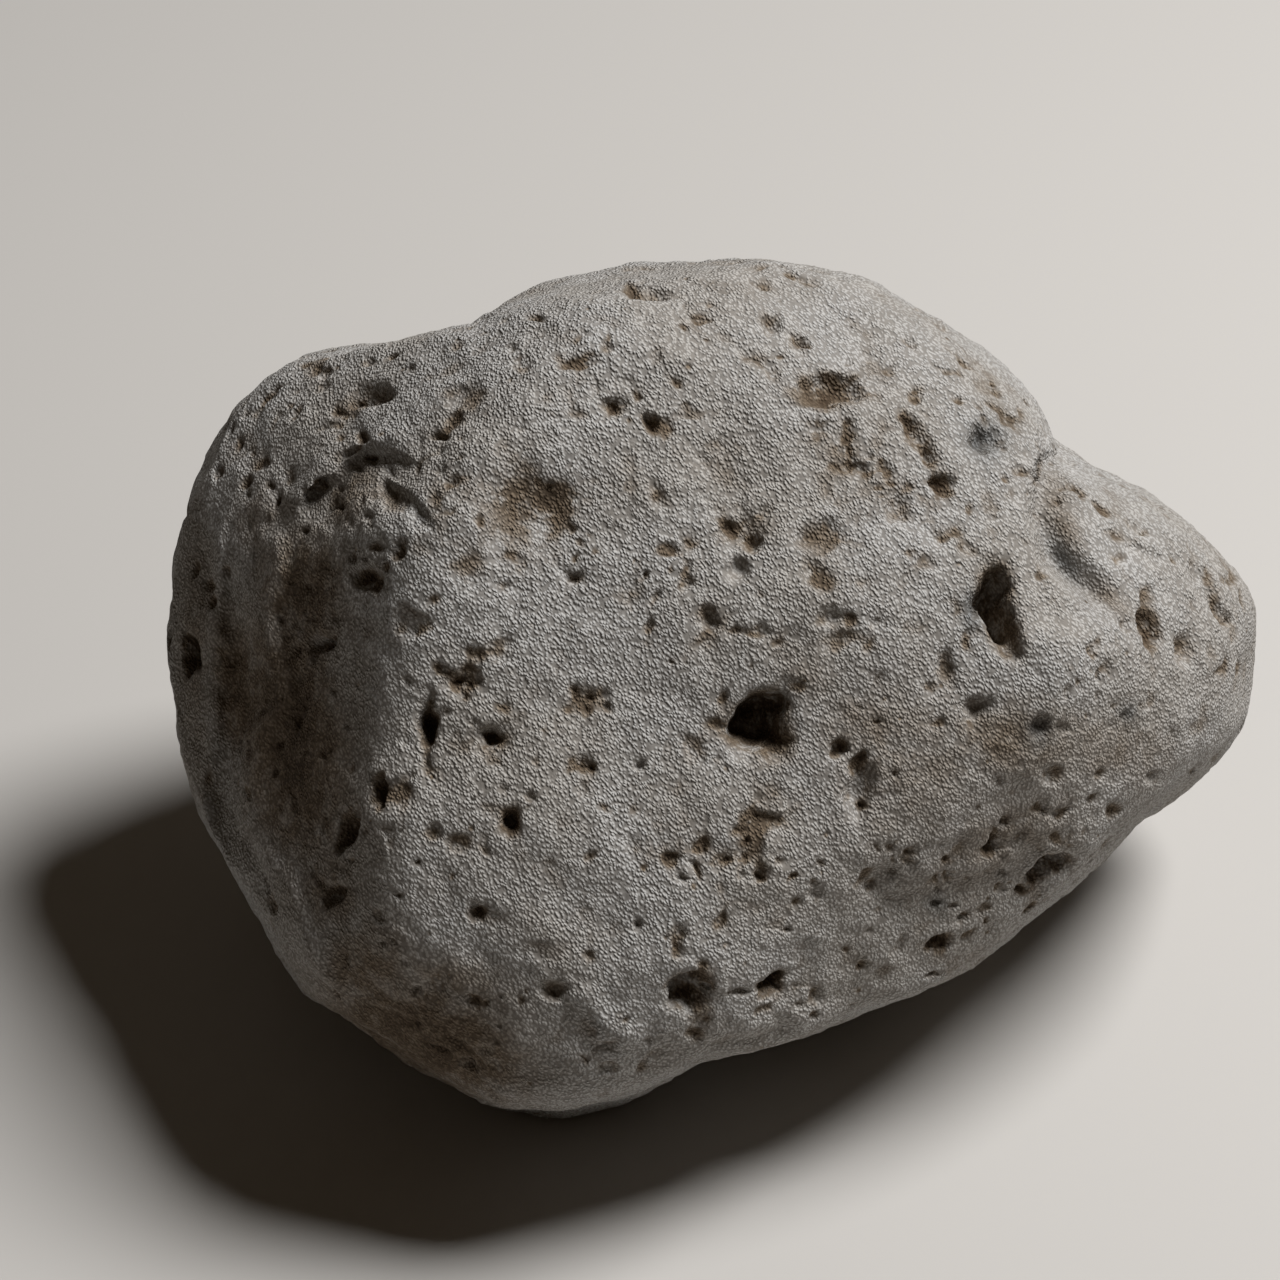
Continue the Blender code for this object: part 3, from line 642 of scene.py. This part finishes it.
def wandered(across, up):
    """Places on the face plane, shifted to and fro, so that a seam drawn there wanders."""
    size, shift = SEAM_WANDER
    spots = np.column_stack([across, up, np.zeros_like(across)]) / size
    shifts = shift * np.array([noise.noise_vector(Vector(spot)) for spot in spots])
    return across + shifts[:, 0], up + shifts[:, 1]


def seam_depth(across, up, points, depth, left_reach, right_reach):
    """How deep one ledge, groove or ridge cuts at each place, fading to nothing at its ends."""
    nearest = np.full(across.shape, np.inf)
    side = np.zeros_like(across)
    travelled = np.zeros_like(across)
    length = 0.0
    for (x0, y0), (x1, y1) in zip(points, points[1:]):
        run = math.hypot(x1 - x0, y1 - y0)
        along = np.clip(((across - x0) * (x1 - x0) + (up - y0) * (y1 - y0)) / run ** 2, 0.0, 1.0)
        off_across = across - x0 - along * (x1 - x0)
        off_up = up - y0 - along * (y1 - y0)
        distance = np.hypot(off_across, off_up)
        closer = distance < nearest
        nearest = np.where(closer, distance, nearest)
        side = np.where(closer, (x1 - x0) * off_up - (y1 - y0) * off_across, side)
        travelled = np.where(closer, length + along * run, travelled)
        length += run
    reach = np.where(side > 0.0, left_reach, right_reach)
    travelled /= length
    ends = smooth_step(0.0, SEAM_FADE, travelled) * smooth_step(1.0, 1.0 - SEAM_FADE, travelled)
    return depth * ends * smooth_step(1.0, 0.0, nearest / reach)


def hole_share(along, beside, ragged):
    """0 in the middle of an oval hole and 1 at its ragged rim, for places in half-lengths and half-widths."""
    bearing = np.arctan2(beside, along)
    rim = np.ones_like(along)
    for height, count, shift in RIM_WAVES:
        rim += height * np.sin(count * bearing + shift * ragged)
    return np.hypot(along, beside) / rim


def leaning_share(along, beside, share, lean_along, lean_beside):
    """The same share, for a hole whose deepest part lies off its middle."""
    scale = np.where(share > 0.0, share / np.maximum(np.hypot(along, beside), 1e-9), 1.0)
    off_along = along * scale - lean_along
    off_beside = beside * scale - lean_beside
    slack = 1.0 - lean_along ** 2 - lean_beside ** 2
    dot = off_along * lean_along + off_beside * lean_beside
    return (dot + np.sqrt(dot ** 2 + slack * (off_along ** 2 + off_beside ** 2))) / slack


def hole_level(across, up, hole, ragged):
    """How deep a steep hole in its worn dish is at each place, and how strongly dirt lies there."""
    _, _, length, width, turn, _, lean = hole
    along, beside = turned(across, up, turn)
    along = along / (length / 2)
    beside = beside / (width / 2)
    share = hole_share(along, beside, ragged)
    if lean is not None:
        angle = math.radians(lean - turn)
        share = leaning_share(along, beside, share, HOLE_LEAN * math.cos(angle), HOLE_LEAN * math.sin(angle))
    steep = np.clip(1.0 - share ** HOLE_STEEPNESS, 0.0, None)
    dish = np.clip(1.0 - (share / DISH_SPREAD) ** 2, 0.0, None) ** DIMPLE_SOFTNESS
    return steep + DISH_SHARE * (dish - steep), np.clip(1.0 - (share / HOLE_STAIN) ** 2, 0.0, None)


def dimple_level(across, up, dimple, ragged):
    """How deep a soft hollow is at each place, as a share of its depth, and how strongly dirt lies there."""
    length, width, turn = dimple[2:5]
    along, beside = turned(across, up, turn)
    share = hole_share(along / (length / 2), beside / (width / 2), ragged)
    level = np.clip(1.0 - share ** 2, 0.0, None) ** DIMPLE_SOFTNESS
    return level, np.clip(1.0 - (share / DIMPLE_STAIN) ** 2, 0.0, None)


class StoneShape:
    """The stone's surface while it is shaped: places, normals, and the marks that its finish reads."""

    def __init__(self, form):
        self.form = form
        self.directions = np.array([vertex.co for vertex in form.verts])
        self.directions /= np.linalg.norm(self.directions, axis=1)[:, None]
        self.across, self.up, near = bare_form(self.directions)
        near = wear_facets(self.across, self.up, near)
        self.facing = smooth_step(*FACE_FADE, self.directions[:, 2])
        near += self.facing * swell(self.across, self.up)
        seam_across, seam_up = wandered(self.across, self.up)
        for points, depth, left_reach, right_reach in SEAMS:
            near -= self.facing * seam_depth(seam_across, seam_up, points, depth, left_reach, right_reach)
        shrink = (EYE_DISTANCE - near) / EYE_DISTANCE
        self.places = np.column_stack([self.across * shrink, self.up * shrink, near])
        self.normals = self.set_places()
        self.clean = np.ones(len(near))

    def set_places(self):
        """Put the form's vertices in place, and return their normals."""
        for vertex, place in zip(self.form.verts, self.places):
            vertex.co = place
        self.form.normal_update()
        return np.array([vertex.normal for vertex in self.form.verts])

    def rise(self, size):
        """Smooth unevenness of one size, between about -1 and 1 at each place."""
        return np.array([noise.noise(Vector(place)) for place in self.places / size])

    def sink(self, level, stain, depth, dirt, chosen=slice(None)):
        """Push places in along the mean normal of the patch that a hole covers, and let it gather dirt."""
        covered = level > 0.0
        if covered.any():
            inward = -(self.normals[chosen][covered] * level[covered, None]).sum(axis=0)
            self.places[chosen] += depth * level[:, None] * inward / np.linalg.norm(inward)
            self.clean[chosen] *= 1.0 - dirt * stain

    def sink_in_face(self, rows, level_of, dirt, shift_across, shift_up):
        """Sink a list of the face's hollows."""
        for index, row in enumerate(rows):
            level, stain = level_of(shift_across - row[0], shift_up - row[1], row, RAGGED_STEP * index)
            self.sink(self.facing * level, self.facing * stain, row[5], dirt)

    def sink_spots(self, shift_across, shift_up):
        """Sink the tiny holes of the rough spots."""
        draw = random.Random(SPOT_SEED)
        for across, up, reach, count in ROUGH_SPOTS:
            rows = []
            for _ in range(count):
                bearing = draw.uniform(-math.pi, math.pi)
                out = reach * math.sqrt(draw.random())
                length = draw.uniform(*SPOT_HOLE_LENGTH)
                width = length * draw.uniform(*SPOT_HOLE_WIDTH)
                turn = draw.uniform(0.0, 180.0)
                rows.append((across + out * math.cos(bearing), up + out * math.sin(bearing), length, width,
                             turn, SPOT_HOLE_DEPTH * length))
            self.sink_in_face(rows, dimple_level, SPOT_DIRT, shift_across, shift_up)

    def sink_pitting(self):
        """Sink irregular pits wherever fine unevenness dips, in patches."""
        for size, threshold, depth, patch_size in PITTING:
            dips = self.rise(size)
            patches = smooth_step(*PITTING_PATCH, self.rise(patch_size))
            level = smooth_step(threshold, threshold + PIT_SLOPE, dips) * patches
            self.places -= depth * level[:, None] * self.normals
            stain = smooth_step(threshold - PIT_STAIN, threshold + PIT_SLOPE, dips) * patches
            self.clean *= 1.0 - PIT_DIRT * stain

    def sink_round(self, seed, count, place, lengths, rarity, widths, depth_share, level_of, dirt):
        """Sink holes that a seeded draw puts round the stone, within a range of places from front to back."""
        draw = random.Random(seed)
        tree = kdtree.KDTree(len(self.places))
        for index, found in enumerate(self.places):
            tree.insert(found, index)
        tree.balance()
        shortest, longest = lengths
        for index in range(count):
            height = draw.uniform(*place)
            bearing = draw.uniform(-math.pi, math.pi)
            length = shortest + (longest - shortest) * draw.random() ** rarity
            width = length * draw.uniform(*widths)
            turn = draw.uniform(0.0, 180.0)
            out = math.sqrt(1.0 - height ** 2)
            aim = np.array((out * math.cos(bearing), out * math.sin(bearing), height))
            centre = int(np.argmax(self.directions @ aim))
            normal = self.normals[centre]
            side = np.cross(normal, (0.0, 0.0, 1.0))
            side /= np.linalg.norm(side)
            other_side = np.cross(normal, side)
            middle = self.places[centre].copy()
            chosen = np.array([entry[1] for entry in tree.find_range(middle, length)])
            offsets = self.places[chosen] - middle
            hole = (0.0, 0.0, length, width, turn, 0.0, None)
            level, stain = level_of(offsets @ side, offsets @ other_side, hole, RAGGED_STEP * index)
            self.sink(level, stain, depth_share * width, dirt, chosen)

    def painted(self, rows):
        """How strongly a list of patches marks each place of the face."""
        mark = np.zeros(len(self.places))
        for at_across, at_up, length, width, turn, strength in rows:
            along, beside = turned(self.across - at_across, self.up - at_up, turn)
            mark = np.maximum(mark, strength * np.exp(-((along / length) ** 2) - (beside / width) ** 2))
        return mark * self.facing


def shape_stone(form, tiny_holes):
    """Shape a sphere into the stone, in millimetres, and return its marks: hollow, brown, blue and smooth."""
    stone = StoneShape(form)
    shift_across = stone.across.copy()
    shift_up = stone.up.copy()
    for across_size, up_size, shift in RIM_SHIFTS:
        shift_across += shift * stone.rise(across_size)
        shift_up -= shift * stone.rise(up_size)
    stone.sink_in_face(HOLES, hole_level, HOLE_DIRT, shift_across, shift_up)
    stone.sink_in_face(DIMPLES, dimple_level, DIMPLE_DIRT, shift_across, shift_up)
    stone.sink_in_face(SMALL_HOLES, dimple_level, SMALL_HOLE_DIRT, shift_across, shift_up)
    stone.sink_spots(shift_across, shift_up)
    stone.sink_round(BACK_SEED, BACK_HOLES, BACK_HOLE_PLACE, BACK_HOLE_LENGTH, BACK_HOLE_RARITY,
                     BACK_HOLE_WIDTH, BACK_HOLE_DEPTH, hole_level, HOLE_DIRT)
    stone.sink_round(TINY_SEED, tiny_holes, (-1.0, 1.0), TINY_HOLE_LENGTH, TINY_HOLE_RARITY,
                     TINY_HOLE_WIDTH, TINY_HOLE_DEPTH, dimple_level, SMALL_HOLE_DIRT)
    stone.sink_pitting()
    heights = np.zeros(len(stone.places))
    for size, on_face, on_back in ROLLS:
        heights += (on_back + (on_face - on_back) * stone.facing) * stone.rise(size)
    fine_heights = np.zeros(len(stone.places))
    for size, height in FINE_ROLLS:
        fine_heights += height * stone.rise(size)
    stone.places += (heights + fine_heights)[:, None] * stone.normals
    stone.set_places()
    cavity = CAVITY_DARKENING * smooth_step(*CAVITY, -fine_heights)
    # The brown mark is brown dirt and painted shade on the sides that turn from the light
    return {"hollow": 1.0 - stone.clean * (1.0 - cavity), "brown": stone.painted(DIRT_AND_SHADE_PATCHES),
            "blue": stone.painted(BLUE_PATCHES), "smooth": stone.painted(SMOOTH_PATCHES)}


def stand_matrix():
    """From across, up and near in millimetres to the floor's frame in metres."""
    sine = math.sin(EYE_ELEVATION)
    cosine = math.cos(EYE_ELEVATION)
    lay = Matrix(((1.0, 0.0, 0.0, -BOX_MIDDLE[0]),
                  (0.0, sine, -cosine, -BOX_MIDDLE[1]),
                  (0.0, cosine, sine, MIDDLE_HEIGHT),
                  (0.0, 0.0, 0.0, 1.0)))
    return Matrix.Diagonal((MM, MM, MM, 1.0)) @ lay


def press_flat(vertices, reach):
    """Bring whatever lies below the floor, or within reach above it, to floor height."""
    for vertex in vertices:
        if vertex.co.z < reach * MM:
            vertex.co.z = 0.0


def fit_box(vertices):
    """Shrink the stone about the origin, if need be, until it lies in the solid's box."""
    places = np.array([vertex.co for vertex in vertices])
    low, high = np.array(CAD_BOX)
    share = min(1.0, np.min(high / places.max(axis=0)), np.min(low[:2] / places.min(axis=0)[:2]))
    for vertex in vertices:
        vertex.co *= share


def thin_out(mesh):
    """The same form with fewer triangles, most of them where it bends most."""
    stand_in = bpy.data.objects.new("fine_form", mesh)
    bpy.context.scene.collection.objects.link(stand_in)
    thinner = stand_in.modifiers.new("Thin out", 'DECIMATE')
    thinner.ratio = KEPT_TRIANGLES / len(mesh.polygons)
    depsgraph = bpy.context.evaluated_depsgraph_get()
    thinned = bpy.data.meshes.new_from_object(stand_in.evaluated_get(depsgraph))
    bpy.data.objects.remove(stand_in, do_unlink=True)
    return thinned


def stone_mesh(tiny_holes):
    """The whole stone as one closed mesh, which carries its marks as attributes."""
    form = bmesh.new()
    bmesh.ops.create_icosphere(form, subdivisions=SPHERE_STEPS, radius=1.0)
    bmesh.ops.translate(form, verts=form.verts, vec=(0.0, 0.0, DRAWN_TO_FACE))
    marks = shape_stone(form, tiny_holes)
    form.transform(stand_matrix())
    press_flat(form.verts, 0.0)
    fine = bpy.data.meshes.new("fine_form")
    form.to_mesh(fine)
    form.free()
    for name, values in marks.items():
        fine.attributes.new(name, 'FLOAT', 'POINT').data.foreach_set("value", values.astype(np.float32))
    mesh = thin_out(fine)
    bpy.data.meshes.remove(fine)
    press_flat(mesh.vertices, FLAT_SNAP)
    fit_box(mesh.vertices)
    mesh.name = "pumice_stone"
    mesh.shade_smooth()
    return mesh


class NodeSheet:
    """Short ways to lay out a material's nodes."""

    def __init__(self, material):
        material.use_nodes = True
        self.tree = material.node_tree
        self.shader = self.tree.nodes["Principled BSDF"]
        self.places = self.tree.nodes.new('ShaderNodeTexCoord').outputs["Object"]

    def node(self, kind, **settings):
        """A node with its own settings given by name."""
        made = self.tree.nodes.new(kind)
        for name, value in settings.items():
            setattr(made, name, value)
        return made

    def feed(self, socket, value):
        """Set a socket to a number or colour, or link it to another node's output."""
        if isinstance(value, bpy.types.NodeSocket):
            self.tree.links.new(value, socket)
        else:
            socket.default_value = value

    def mark(self, name):
        """A mark of the mesh, between 0 and 1."""
        return self.node('ShaderNodeAttribute', attribute_name=name).outputs["Fac"]

    def framed(self, rotation, size):
        """Object places, seen in a turned frame and measured in the cells of a pattern."""
        mapping = self.node('ShaderNodeMapping', vector_type='TEXTURE')
        self.feed(mapping.inputs["Vector"], self.places)
        mapping.inputs["Rotation"].default_value = rotation
        mapping.inputs["Scale"].default_value = size
        return mapping.outputs["Vector"]

    def noise(self, vector, detail, roughness, distortion=0.0):
        """Cloudy noise with cells of unit size."""
        made = self.node('ShaderNodeTexNoise')
        self.feed(made.inputs["Vector"], vector)
        made.inputs["Scale"].default_value = 1.0
        made.inputs["Detail"].default_value = detail
        made.inputs["Roughness"].default_value = roughness
        made.inputs["Distortion"].default_value = distortion
        return made.outputs["Fac"]

    def math(self, operation, first, second=0.0):
        """One sum."""
        made = self.node('ShaderNodeMath', operation=operation)
        self.feed(made.inputs[0], first)
        self.feed(made.inputs[1], second)
        return made.outputs["Value"]

    def step(self, value, low, high, to_low=0.0, to_high=1.0):
        """An S-shaped step of a value from one range to another."""
        made = self.node('ShaderNodeMapRange', interpolation_type='SMOOTHSTEP')
        self.feed(made.inputs["Value"], value)
        self.feed(made.inputs["From Min"], low)
        self.feed(made.inputs["From Max"], high)
        self.feed(made.inputs["To Min"], to_low)
        self.feed(made.inputs["To Max"], to_high)
        return made.outputs["Result"]

    def mix(self, share, first, second, blend='MIX'):
        """A mix of two colours."""
        made = self.node('ShaderNodeMix', data_type='RGBA', blend_type=blend)
        self.feed(made.inputs[0], share)
        self.feed(made.inputs[6], first)
        self.feed(made.inputs[7], second)
        return made.outputs[2]


# The grain's pebbles lie in rows that run down to the right over the face, at this turn of their length
GRAIN_TURN = 120.0

# How far the grain's rows wander, in pebbles, and how quickly, in waves per pebble
GRAIN_WARP = 0.7
GRAIN_WARP_SCALE = 0.45

# Sizes of the pattern's cells, in millimetres
CLOUD_SIZE = 11.0
BLOTCH_SIZE = 1.8
RIPPLE_SIZE = 0.9

# How far the ripples and the specks stand out or in, in millimetres
RIPPLE_HEIGHT = 0.16
SPECK_DEPTH = 0.22

# How matt the rock is
ROCK_ROUGHNESS = 0.95
ROCK_SHINE = 0.25


def grain_rotation():
    """The turn of the grain's own frame, first within the face and then with the face towards the eye."""
    lean = Matrix.Rotation(math.pi / 2 - EYE_ELEVATION, 3, 'X')
    turn = Matrix.Rotation(math.radians(GRAIN_TURN), 3, 'Z')
    return (lean @ turn).to_euler('XYZ')


def rock_material(settings):
    """Dry pale rock: pebbled grain, specks, brown dirt in the hollows, painted shade between the pebbles and
    on the sides that turn from the light, and a few blue-grey ones.
    """
    material = bpy.data.materials.new("pumice_rock")
    sheet = NodeSheet(material)
    upright = (0.0, 0.0, 0.0)
    grain_thickness = 0.5 * (settings.grain_length + settings.grain_width)
    grain_size = (settings.grain_length, settings.grain_width, grain_thickness)
    grain_places = sheet.framed(grain_rotation(), grain_size)
    unevenness = sheet.node('ShaderNodeTexNoise')
    sheet.feed(unevenness.inputs["Vector"], grain_places)
    unevenness.inputs["Scale"].default_value = GRAIN_WARP_SCALE
    unevenness.inputs["Detail"].default_value = 0.0
    warp = sheet.node('ShaderNodeVectorMath', operation='MULTIPLY_ADD')
    sheet.feed(warp.inputs[0], unevenness.outputs["Color"])
    warp.inputs[1].default_value = (GRAIN_WARP,) * 3
    sheet.feed(warp.inputs[2], grain_places)
    pebbles = sheet.node('ShaderNodeTexVoronoi', feature='SMOOTH_F1')
    sheet.feed(pebbles.inputs["Vector"], warp.outputs["Vector"])
    pebbles.inputs["Scale"].default_value = 1.0
    pebbles.inputs["Smoothness"].default_value = 0.35
    grain = sheet.step(pebbles.outputs["Distance"], 0.75, 0.05)
    cloud = sheet.noise(sheet.framed(upright, (CLOUD_SIZE * MM,) * 3), 2.0, 0.55)
    blotch = sheet.noise(sheet.framed(upright, (BLOTCH_SIZE * MM,) * 3), 3.0, 0.6)
    ripple = sheet.noise(sheet.framed(upright, (RIPPLE_SIZE * MM,) * 3), 2.0, 0.5)

    specks = sheet.node('ShaderNodeTexVoronoi')
    sheet.feed(specks.inputs["Vector"], sheet.framed(upright, (settings.speck_spacing,) * 3))
    specks.inputs["Scale"].default_value = 1.0
    chance = sheet.node('ShaderNodeSeparateColor')
    sheet.feed(chance.inputs["Color"], specks.outputs["Color"])
    reach = sheet.step(chance.outputs["Red"], 0.45, 1.0, 0.0, 0.34)
    zone = sheet.step(blotch, 0.42, 0.62)
    speck = sheet.math('MULTIPLY', sheet.step(specks.outputs["Distance"], reach, 0.0), zone)

    hollow = sheet.mark("hollow")
    brown = sheet.mark("brown")
    smooth = sheet.mark("smooth")
    # This dirt value also carries the brown mark's painted shade and the darkened hollows of the rolling
    # surface
    dirt = sheet.math('MULTIPLY', hollow, sheet.step(blotch, 0.34, 0.60, 0.35, 1.35))
    spread = sheet.math('MULTIPLY', brown, sheet.step(blotch, 0.3, 0.65, 0.70, 1.10))
    dirt = sheet.math('MAXIMUM', dirt, spread)
    stain = sheet.math('MULTIPLY', sheet.step(cloud, 0.5, 0.75), sheet.step(blotch, 0.5, 0.7, 0.0, 0.45))
    dirt = sheet.math('MAXIMUM', dirt, stain)
    dirt = sheet.math('MAXIMUM', dirt, sheet.math('MULTIPLY', speck, 0.8))

    warmth = sheet.step(cloud, 0.35, 0.65)
    rock = sheet.mix(warmth, (*settings.rock_colour, 1.0), (*settings.warm_colour, 1.0))
    rock = sheet.mix(sheet.step(dirt, 0.0, 0.8), rock, (*settings.earth_and_shade_colour, 1.0))
    rock = sheet.mix(sheet.step(dirt, 0.45, 1.25, 0.0, 0.9), rock, (*settings.dirt_and_shade_colour, 1.0))
    rock = sheet.mix(sheet.math('MULTIPLY', sheet.mark("blue"), 0.8), rock, (*settings.blue_colour, 1.0))
    # Painted shade in the crevices between the grain's pebbles: the colour is darkened where the grain dips
    crevice_shade = sheet.step(grain, 0.55, 0.0, 0.0, 0.65)
    rock = sheet.mix(crevice_shade, rock, (*settings.crevice_shade_colour, 1.0), 'MULTIPLY')
    sheet.feed(sheet.shader.inputs["Base Color"], rock)
    sheet.shader.inputs["Roughness"].default_value = ROCK_ROUGHNESS
    sheet.shader.inputs["Specular IOR Level"].default_value = ROCK_SHINE

    smoothing = sheet.step(smooth, 0.0, 1.0, 1.0, 0.25)
    smoothing = sheet.math('MULTIPLY', smoothing, sheet.step(blotch, 0.35, 0.6, 0.7, 1.2))
    height = sheet.math('MULTIPLY', grain, settings.grain_height)
    height = sheet.math('MULTIPLY', height, smoothing)
    height = sheet.math('ADD', height, sheet.math('MULTIPLY', ripple, RIPPLE_HEIGHT * MM))
    height = sheet.math('SUBTRACT', height, sheet.math('MULTIPLY', speck, SPECK_DEPTH * MM))
    bump = sheet.node('ShaderNodeBump')
    bump.inputs["Distance"].default_value = 1.0
    sheet.feed(bump.inputs["Height"], height)
    sheet.feed(sheet.shader.inputs["Normal"], bump.outputs["Normal"])
    return material


class PUMICE_OT_make_stone(bpy.types.Operator):
    """Make the pumice stone with its gas holes and grain"""
    bl_idname = "pumice.make_stone"
    bl_label = "Pumice stone"
    bl_options = {'REGISTER', 'UNDO'}

    def execute(self, context):
        settings = context.scene.pumice_stone
        mesh = stone_mesh(settings.tiny_holes)
        mesh.materials.clear()
        mesh.materials.append(rock_material(settings))
        stone = bpy.data.objects.new("pumice_stone", mesh)
        context.scene.collection.objects.link(stone)
        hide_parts("pumice")
        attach(stone, "root")
        return {'FINISHED'}


# The stage: the floor's width and its surface, and where the lights hang in the eye's view of the stone, as
# directions to the right, up and near, and their distance, in metres
FLOOR_WIDTH = 3.0
FLOOR_ROUGHNESS = 0.7
KEY_DIRECTION = (0.50, 0.765, 0.41)
KEY_DISTANCE = 0.7
SKY_COLOUR = (1.0, 0.78, 0.55, 1.0)


def from_view(right, up, near):
    """A direction that the eye sees as right, up and near, in the floor's frame."""
    sine = math.sin(EYE_ELEVATION)
    cosine = math.cos(EYE_ELEVATION)
    return Vector((right, up * sine - near * cosine, up * cosine + near * sine)).normalized()


def aim(thing, place, target):
    """Stand a camera or light at a place and turn it to a target."""
    thing.location = place
    thing.rotation_euler = (target - place).to_track_quat('-Z', 'Y').to_euler()


def make_floor(colour):
    """A wide, plain floor at the level that the stone rests on."""
    form = bmesh.new()
    bmesh.ops.create_grid(form, x_segments=1, y_segments=1, size=FLOOR_WIDTH / 2)
    mesh = bpy.data.meshes.new("floor")
    form.to_mesh(mesh)
    form.free()
    paint = bpy.data.materials.new("floor_paint")
    paint.use_nodes = True
    shader = paint.node_tree.nodes["Principled BSDF"]
    shader.inputs["Base Color"].default_value = (*colour, 1.0)
    shader.inputs["Roughness"].default_value = FLOOR_ROUGHNESS
    mesh.materials.append(paint)
    floor = bpy.data.objects.new("floor", mesh)
    bpy.context.scene.collection.objects.link(floor)


def make_lights(settings, target):
    """One soft light from the upper right, and an even room light."""
    lamp = bpy.data.lights.new("key_light", 'AREA')
    lamp.shape = 'DISK'
    lamp.energy = settings.key_power
    lamp.size = settings.key_size
    key = bpy.data.objects.new("key_light", lamp)
    bpy.context.scene.collection.objects.link(key)
    aim(key, target + KEY_DISTANCE * from_view(*KEY_DIRECTION), target)
    world = bpy.data.worlds.new("room")
    world.use_nodes = True
    sky = world.node_tree.nodes["Background"]
    sky.inputs["Color"].default_value = SKY_COLOUR
    sky.inputs["Strength"].default_value = settings.sky_strength
    bpy.context.scene.world = world


def make_camera(target):
    """The camera at the photo's raised viewing angle, framed as the photo is."""
    lens = bpy.data.cameras.new("camera")
    lens.sensor_width = SENSOR_WIDTH
    lens.lens = SENSOR_WIDTH * EYE_DISTANCE / FRAME_WIDTH
    lens.clip_start = 0.01
    camera = bpy.data.objects.new("camera", lens)
    bpy.context.scene.collection.objects.link(camera)
    aim(camera, target + EYE_DISTANCE * MM * from_view(0.0, 0.0, 1.0), target)
    bpy.context.scene.camera = camera


class PUMICE_OT_make_stage(bpy.types.Operator):
    """Make the pale floor, the lights and the camera"""
    bl_idname = "pumice.make_stage"
    bl_label = "Stage"
    bl_options = {'REGISTER', 'UNDO'}

    def execute(self, context):
        settings = context.scene.pumice_stage
        target = Vector((-BOX_MIDDLE[0], -BOX_MIDDLE[1], MIDDLE_HEIGHT)) * MM
        make_floor(settings.floor_colour)
        make_lights(settings, target)
        make_camera(target)
        context.scene.view_settings.view_transform = 'Standard'
        return {'FINISHED'}


class PUMICE_PT_panel(bpy.types.Panel):
    """Panel with the stone, its stage and their settings"""
    bl_idname = "PUMICE_PT_panel"
    bl_label = "Pumice stone"
    bl_space_type = 'VIEW_3D'
    bl_region_type = 'UI'
    bl_category = "Pumice"

    def draw(self, context):
        for settings, operator in ((context.scene.pumice_stone, PUMICE_OT_make_stone),
                                   (context.scene.pumice_stage, PUMICE_OT_make_stage)):
            box = self.layout.box()
            for name in settings.bl_rna.properties.keys():
                if name not in {"rna_type", "name"}:
                    box.prop(settings, name)
            box.operator(operator.bl_idname)


CLASSES = (
    PumiceStoneSettings,
    PumiceStageSettings,
    PUMICE_OT_make_stone,
    PUMICE_OT_make_stage,
    PUMICE_PT_panel,
)


def register():
    for kind in CLASSES:
        bpy.utils.register_class(kind)
    bpy.types.Scene.pumice_stone = PointerProperty(type=PumiceStoneSettings)
    bpy.types.Scene.pumice_stage = PointerProperty(type=PumiceStageSettings)


def unregister():
    del bpy.types.Scene.pumice_stage
    del bpy.types.Scene.pumice_stone
    for kind in reversed(CLASSES):
        bpy.utils.unregister_class(kind)


def main():
    """Make the stone and the stage."""
    register()
    bpy.ops.pumice.make_stone()
    bpy.ops.pumice.make_stage()


if __name__ == "__main__":
    main()
